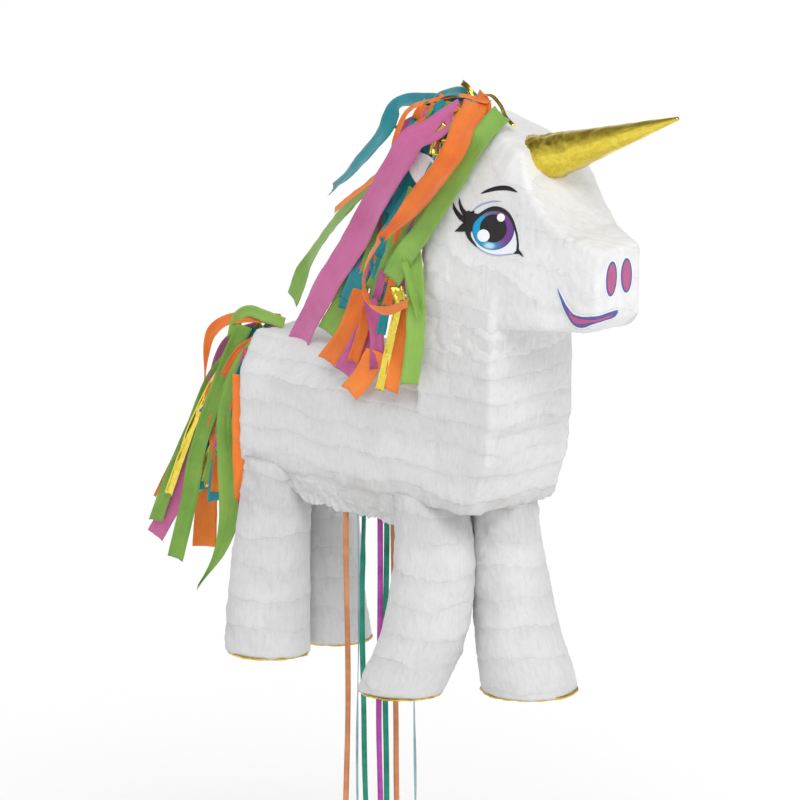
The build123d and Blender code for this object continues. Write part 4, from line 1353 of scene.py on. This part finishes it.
STREAMER_TABLE: dict[str, tuple[Strip, ...]] = {
    "mane_teal": (
        Strip(16, Lie.LOW, ((75, 0, 506), (33, -3, 502), (3, -5, 494), (-8, -10, 470), (-27, -12, 448),
            (-47, -14, 427), (-69, -15, 408))),
        Strip(14, Lie.LOW, ((92, 2, 493), (89, 0, 508), (76, -2, 516), (56, -3, 511), (44, -5, 501))),
        Strip(15, Lie.LOW, ((31, -7, 499), (61, -8, 497), (87, -10, 492))),
        Strip(17, Lie.MID, ((36, -12, 461), (16, -20, 419), (1, -32, 377), (-11, -36, 350), (-28, -36, 320))),
        Strip(8, Lie.FLAT, ((43, -53, 355), (38, -54, 333), (33, -56, 306))),
    ),
    "mane_orange": (
        Strip(6, Lie.LOW, ((113, -7, 514), (79, -7, 514), (52, -8, 506), (24, -12, 494), (15, -17, 475),
            (9, -19, 455), (-10, -20, 430), (-36, -22, 409), (-57, -22, 393))),
        Strip(15, Lie.STEEP, ((96, -7, 516), (109, -10, 510), (109, -15, 497))),
        Strip(21, Lie.STEEP,
              ((101, -10, 514), (108, -20, 508), (115, -38, 500), (127, -62, 485), (119, -71, 466),
            (98, -74, 441), (75, -75, 417), (51, -74, 395)), 0.35),
        Strip(8, Lie.EDGE, ((50, -73, 395), (34, -72, 373), (28, -71, 351),
            (36, -70, 334), (58, -72, 334), (85, -75, 346))),
        Strip(16, Lie.FLAT, ((5, -51, 338), (-12, -51, 301), (-38, -51, 269))),
        Strip(10, Lie.FLAT, ((18, -56, 328), (10, -56, 302), (-3, -54, 275))),
        Strip(18, Lie.FLAT, ((31, -60, 291), (16, -60, 267), (-2, -60, 249))),
        Strip(14, Lie.FLAT, ((66, -61, 345), (59, -61, 302), (49, -61, 260))),
    ),
    "mane_pink": (
        Strip(24, Lie.MID,
              ((91, -16, 504), (83, -28, 497), (76, -40, 488), (70, -54, 483), (58, -58, 464), (22, -52, 420),
            (-10, -44, 379), (-52, -36, 331), (-80, -31, 293), (-97, -28, 269))),
        Strip(12, Lie.MID, ((59, -3, 482), (42, -3, 488), (20, -5, 479), (2, -7, 468))),
        Strip(20, Lie.FLAT, ((19, -53, 314), (2, -53, 287), (-15, -53, 262))),
        Strip(12, Lie.FLAT, ((22, -58, 335), (30, -58, 306), (30, -58, 275))),
        Strip(8, Lie.FLAT, ((32, -51, 360), (22, -51, 334))),
    ),
    "mane_green": (
        Strip(19, Lie.STEEP,
              ((137, -14, 510), (137, -24, 505), (136, -36, 496), (131, -44, 483), (120, -55, 457),
            (104, -62, 428), (89, -66, 404), (73, -68, 384), (57, -68, 360))),
        Strip(17, Lie.LOW, ((16, -2, 464), (-15, -3, 431), (-45, -5, 405), (-73, -7, 376), (-104, -7, 337),
            (-125, -5, 300))),
        Strip(20, Lie.FLAT, ((-18, -26, 366), (-38, -27, 319), (-59, -29, 286))),
        Strip(16, Lie.FLAT, ((72, -60, 397), (83, -65, 357), (83, -65, 313), (76, -65, 271))),
        Strip(6, Lie.FLAT, ((73, -68, 379), (82, -68, 356), (90, -68, 333))),
        Strip(14, Lie.MID, ((33, -19, 442), (25, -20, 420), (19, -24, 397), (10, -27, 375))),
        Strip(14, Lie.LOW, ((64, -2, 502), (48, -5, 495), (26, -7, 477), (18, -8, 466))),
    ),
    "mane_gold": (
        Strip(8, Lie.STEEP, ((78, -17, 506), (93, -19, 502), (109, -22, 496))),
        Strip(9, Lie.STEEP, ((85, -29, 493), (81, -36, 482), (82, -41, 468))),
        Strip(5, Lie.LOW, ((93, -2, 506), (89, -2, 514), (83, -2, 521), (76, -2, 524))),
        Strip(3, Lie.LOW, ((104, -3, 518), (116, -5, 519), (129, -8, 513), (136, -10, 506), (148, -12, 500))),
        Strip(7, Lie.FLAT, ((64, -66, 340), (53, -66, 300), (41, -66, 260))),
        Strip(10, Lie.FLAT, ((63, -68, 356), (72, -68, 338))),
    ),
    "tail_green": (
        Strip(10, Lie.FLAT, ((-133, -7, 278), (-155, -8, 281), (-174, -8, 282), (-186, -10, 274),
            (-190, -12, 256))),
        Strip(14, Lie.FLAT, ((-176, -12, 269), (-187, -17, 242), (-202, -26, 195), (-216, -29, 154),
            (-224, -31, 111), (-241, -31, 56))),
        Strip(20, Lie.FLAT, ((-138, -20, 267), (-155, -32, 241), (-166, -39, 202), (-166, -41, 158),
            (-163, -42, 115), (-176, -42, 76), (-204, -41, 39)), 0.08),
        Strip(12, Lie.FLAT,
              ((-169, 3, 266), (-223, 2, 218), (-250, 0, 166), (-275, -2, 118), (-294, -2, 75))),
    ),
    "tail_orange": (
        Strip(10, Lie.MID, ((-139, -5, 280), (-172, -8, 277), (-199, -10, 270), (-214, -14, 257),
            (-219, -15, 237), (-219, -17, 213)), 0.1),
        Strip(20, Lie.FLAT, ((-194, 14, 249), (-226, 12, 191), (-241, 10, 127), (-245, 8, 59))),
        Strip(10, Lie.FLAT, ((-149, -46, 237), (-148, -48, 198), (-145, -50, 164), (-142, -50, 129))),
        Strip(2.5, Lie.FLAT,
              ((-194, -3, 228), (-227, -2, 199), (-257, 0, 160), (-279, 0, 126), (-299, 2, 95))),
        Strip(6, Lie.FLAT, ((-133, -26, 272), (-163, -29, 255), (-183, -31, 227))),
    ),
    "tail_teal": (
        Strip(16, Lie.FLAT, ((-170, -3, 265), (-192, -10, 234), (-205, -15, 191), (-213, -17, 155),
            (-220, -17, 118))),
    ),
    "tail_gold": (
        Strip(7, Lie.FLAT,
              ((-184, 3, 260), (-221, 0, 215), (-245, -3, 173), (-261, -3, 139), (-278, -3, 101))),
        Strip(5, Lie.FLAT, ((-185, 0, 258), (-213, -3, 224), (-231, -7, 183))),
    ),
    "tail_pink": (
        Strip(16, Lie.FLAT, ((-173, 7, 263), (-198, 3, 252), (-216, 2, 230), (-240, 5, 164), (-270, 5, 106),
            (-300, 3, 60))),
        Strip(8, Lie.FLAT, ((-150, -36, 180), (-150, -40, 129), (-148, -42, 72))),
    ),
}


@dataclass
class Streamers:
    """Tissue and foil streamers: the mane over the neck and the tail on the rump."""

    thickness: float = 0.00022
    pace: float = 0.0032
    strips: dict[str, tuple[Strip, ...]] = field(default_factory=lambda: STREAMER_TABLE)

    def add_strip(self, sheet: bmesh.types.BMesh, strip: Strip, seed: float) -> None:
        """Adds one streamer to a bmesh.

        Args:
            sheet: the bmesh, with its lap layer.
            strip: the streamer.
            seed: what its twist, folds and slanted ends are drawn from.
        """
        lap = sheet.verts.layers.float_vector["lap"]
        rough = smooth_route(strip.route, 12)
        length = sum((b - a).length for a, b in zip(rough, rough[1:]))
        rows = max(14, int(length / self.pace))
        path = smooth_route(strip.route, rows + 1)
        facing = Vector(strip.lie.value).normalized()
        half = strip.width * MM / 2
        slant = 0.9 * waver(seed, 9.1, 0.0)
        cut = 0.8 * waver(seed, 2.3, 5.0)
        made = bmesh.ops.create_grid(sheet, x_segments=6, y_segments=rows, size=1.0)["verts"]
        for vertex in made:
            side, share = vertex.co.x, (vertex.co.y + 1) / 2
            row = min(round(share * rows), rows)
            down = (path[min(row + 1, rows)] - path[max(row - 1, 0)]).normalized()
            across = facing.cross(down).normalized()
            turn = 0.55 * waver(seed, share * length * 14.0, 1.0)
            across = Matrix.Rotation(turn, 3, down) @ across
            outward = down.cross(across)
            reach = half * (1.0 + 0.06 * waver(seed, share * 9.0, 3.0))
            reach *= 1.0 - (1.0 - strip.end) * blend01(share, 0.60, 1.0)
            cup = 0.13 * half * (1 - side * side) * (0.9 + waver(seed, share * 3.0, 7.0)) * 2.2
            ripple = 0.0010 * waver(side * 1.6 + seed, share * length * 55.0, 4.0)
            ripple += 0.0005 * waver(side * 4.0 + seed, share * length * 120.0, 6.0)
            trail = slant * side * half * blend01(share, 0.86, 1.0) + cut * side * half * blend01(share, 0.14,
                                                                                                  0.0)
            vertex[lap] = (share * length, side * half, seed)
            vertex.co = path[row] + across * side * reach - outward * (cup + ripple) + down * trail

    @staticmethod
    def rail_point(rail: Sequence[Triple], share: float) -> Vector:
        """Returns the place at a share of a rail's points."""
        spot = share * (len(rail) - 1)
        i = min(int(spot), len(rail) - 2)
        return Vector(rail[i]).lerp(Vector(rail[i + 1]), spot - i)

    def understory(self, front: Sequence[Triple], back: Sequence[Triple], count: int, widths: Pair,
                   lie: Lie, draw: random.Random) -> dict[str, list[Strip]]:
        """Draws the shorter streamers that fill the space between two rails.

        Args:
            front: places down the front edge of the bunch.
            back: as many places down its back edge.
            count: how many streamers.
            widths: the narrowest and the widest.
            lie: how they face.
            draw: the seeded source of chance.

        Returns:
            The streamers by colour.
        """
        found: dict[str, list[Strip]] = {}
        for i in range(count):
            mix, first = (i + 0.5) / count, draw.uniform(0.0, 0.35)
            last = min(first + draw.uniform(0.35, 0.65), 1.0)
            route = []
            for k in range(5):
                share = first + (last - first) * k / 4
                place = self.rail_point(front, share).lerp(self.rail_point(back, share), mix)
                stray = Vector((draw.uniform(-5, 5), draw.uniform(-3, 5), draw.uniform(-4, 4)))
                route.append(tuple(place + stray))
            colour = draw.choice(("green", "orange", "teal", "pink", "green", "gold", "teal", "orange"))
            width = draw.uniform(*widths) * (0.5 if colour == "gold" else 1.0)
            found.setdefault(colour, []).append(Strip(width, lie, tuple(route)))
        return found

    def build(self) -> None:
        """Builds one piece for each colour of the mane and of the tail."""
        extra = {
            "mane": self.understory(
                ((112, -18, 499), (106, -50, 458), (88, -58, 425), (72, -60, 388), (60, -60, 342),
                 (52, -60, 290)),
                ((56, -10, 482), (28, -16, 448), (4, -22, 408), (-22, -24, 366), (-44, -26, 328),
                 (-56, -28, 296)),
                70, (9, 16), Lie.MID, random.Random(41)),
            "tail": self.understory(
                ((-139, -28, 268), (-150, -38, 238), (-156, -42, 196), (-156, -44, 150), (-153, -44, 108)),
                ((-150, 4, 272), (-200, 2, 240), (-232, 0, 180), (-250, 0, 122), (-264, 0, 76)),
                46, (8, 14), Lie.FLAT, random.Random(17)),
        }
        crown = self.understory(((106, -12, 512), (104, -30, 492), (94, -50, 464)),
                                ((52, -4, 508), (40, -18, 490), (26, -26, 462)), 30, (7, 13), Lie.MID,
                                random.Random(8))
        for colour, strips in crown.items():
            extra["mane"].setdefault(colour, []).extend(strips)
        for number, (node, strips) in enumerate(self.strips.items()):
            bunch, colour = node.split("_")
            sheet = bmesh.new()
            sheet.verts.layers.float_vector.new("lap")
            for i, strip in enumerate([*strips, *extra[bunch].get(colour, [])]):
                self.add_strip(sheet, strip, number * 31.7 + i * 3.37)
            bmesh.ops.recalc_face_normals(sheet, faces=sheet.faces)
            piece = thicken(into_object(f"{node}_streamers", sheet), self.thickness, 0.0)
            hand_over(piece, "body", TISSUES[colour], [node])


@dataclass(frozen=True)
class CrepePanel:
    """A flat board wrapped in crepe, such as the flap and the fill door."""

    name: str
    body: str
    node: str
    corner: Triple
    first: Triple
    second: Triple
    board: float = 2.0

    def build(self) -> None:
        """Builds the panel from its outer face inwards."""
        corner, first, second = at(*self.corner), Vector(self.first) * MM, Vector(self.second) * MM
        outward = first.cross(second).normalized()
        sheet = bmesh.new()
        bmesh.ops.create_grid(sheet, x_segments=int(first.length / 0.001),
                              y_segments=int(second.length / 0.001),
                              size=1.0)
        lap = sheet.verts.layers.float_vector.new("lap")
        for vertex in sheet.verts:
            u, v = (vertex.co.x + 1) / 2, (vertex.co.y + 1) / 2
            place = corner + first * u + second * v
            edge = min(u * first.length, (1 - u) * first.length, v * second.length, (1 - v) * second.length)
            phase = (v * second.length + 0.003 * noise.noise(place * 40.0)) / 0.019
            share = phase - math.floor(phase)
            folds = abs(noise.noise(place * 60.0)) + 0.5 * abs(noise.noise(place * 140.0))
            vertex[lap] = (u * first.length, phase, 0.15)
            inset = 0.0005 * (1 - blend01(edge, 0.0, 0.0015)) - 0.0005
            sunk = inset + 0.0005 * share - 0.0006 * (folds - 0.4) * blend01(edge, 0.0, 0.004)
            vertex.co = place - outward * sunk
        bmesh.ops.recalc_face_normals(sheet, faces=sheet.faces)
        if sum((face.normal for face in sheet.faces), Vector()).dot(outward) < 0:
            bmesh.ops.reverse_faces(sheet, faces=sheet.faces)
        piece = thicken(into_object(self.name, sheet), self.board * MM)
        hand_over(piece, self.body, WHITE_CREPE, [self.node])


PANELS = (
    CrepePanel("release_flap_crepe", "release_flap", "release_flap", (-70, -28, 162.6), (0, 56, 0),
               (62, 0, 0)),
    CrepePanel("fill_door_crepe", "fill_door", "fill_door", (0, 50.2, 185), (-60, 0, 0), (0, 0, 52)),
)


@dataclass
class BoardWork:
    """The carried-over card, tape and horn parts, which only need their finishes."""

    finishes: tuple[tuple[str, Finish], ...] = (
        ("_board", CARDBOARD), ("_plate", CARDBOARD), ("torso_side", CARDBOARD), ("chest_", CARDBOARD),
        ("head_", CARDBOARD), ("muzzle_", CARDBOARD), ("hang_tab", EAR_PAPER), ("horn_cone", CARDBOARD),
        ("trigger_tape", PAPER_TAPE))

    def build(self) -> None:
        """Gives each shown CAD node its finish."""
        for name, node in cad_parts.items():
            if node.hide_render:
                continue
            finish = next((made for part, made in self.finishes if part in name), None)
            if finish is None:
                log.warning("%s has no finish of its own", name)
                finish = CARDBOARD
            node.data.materials.clear()
            node.data.materials.append(finish.material())


def main() -> None:
    logging.basicConfig(level=logging.INFO, format="%(name)s: %(message)s")
    Studio().build()
    PullRibbons().build()
    BodySkin().build()
    head = HeadSkin().build()
    Legs().build()
    Horn().build()
    Ears().build()
    FaceStickers(head).build()
    Streamers().build()
    for panel in PANELS:
        panel.build()
    BoardWork().build()


if __name__ == "__main__":
    main()
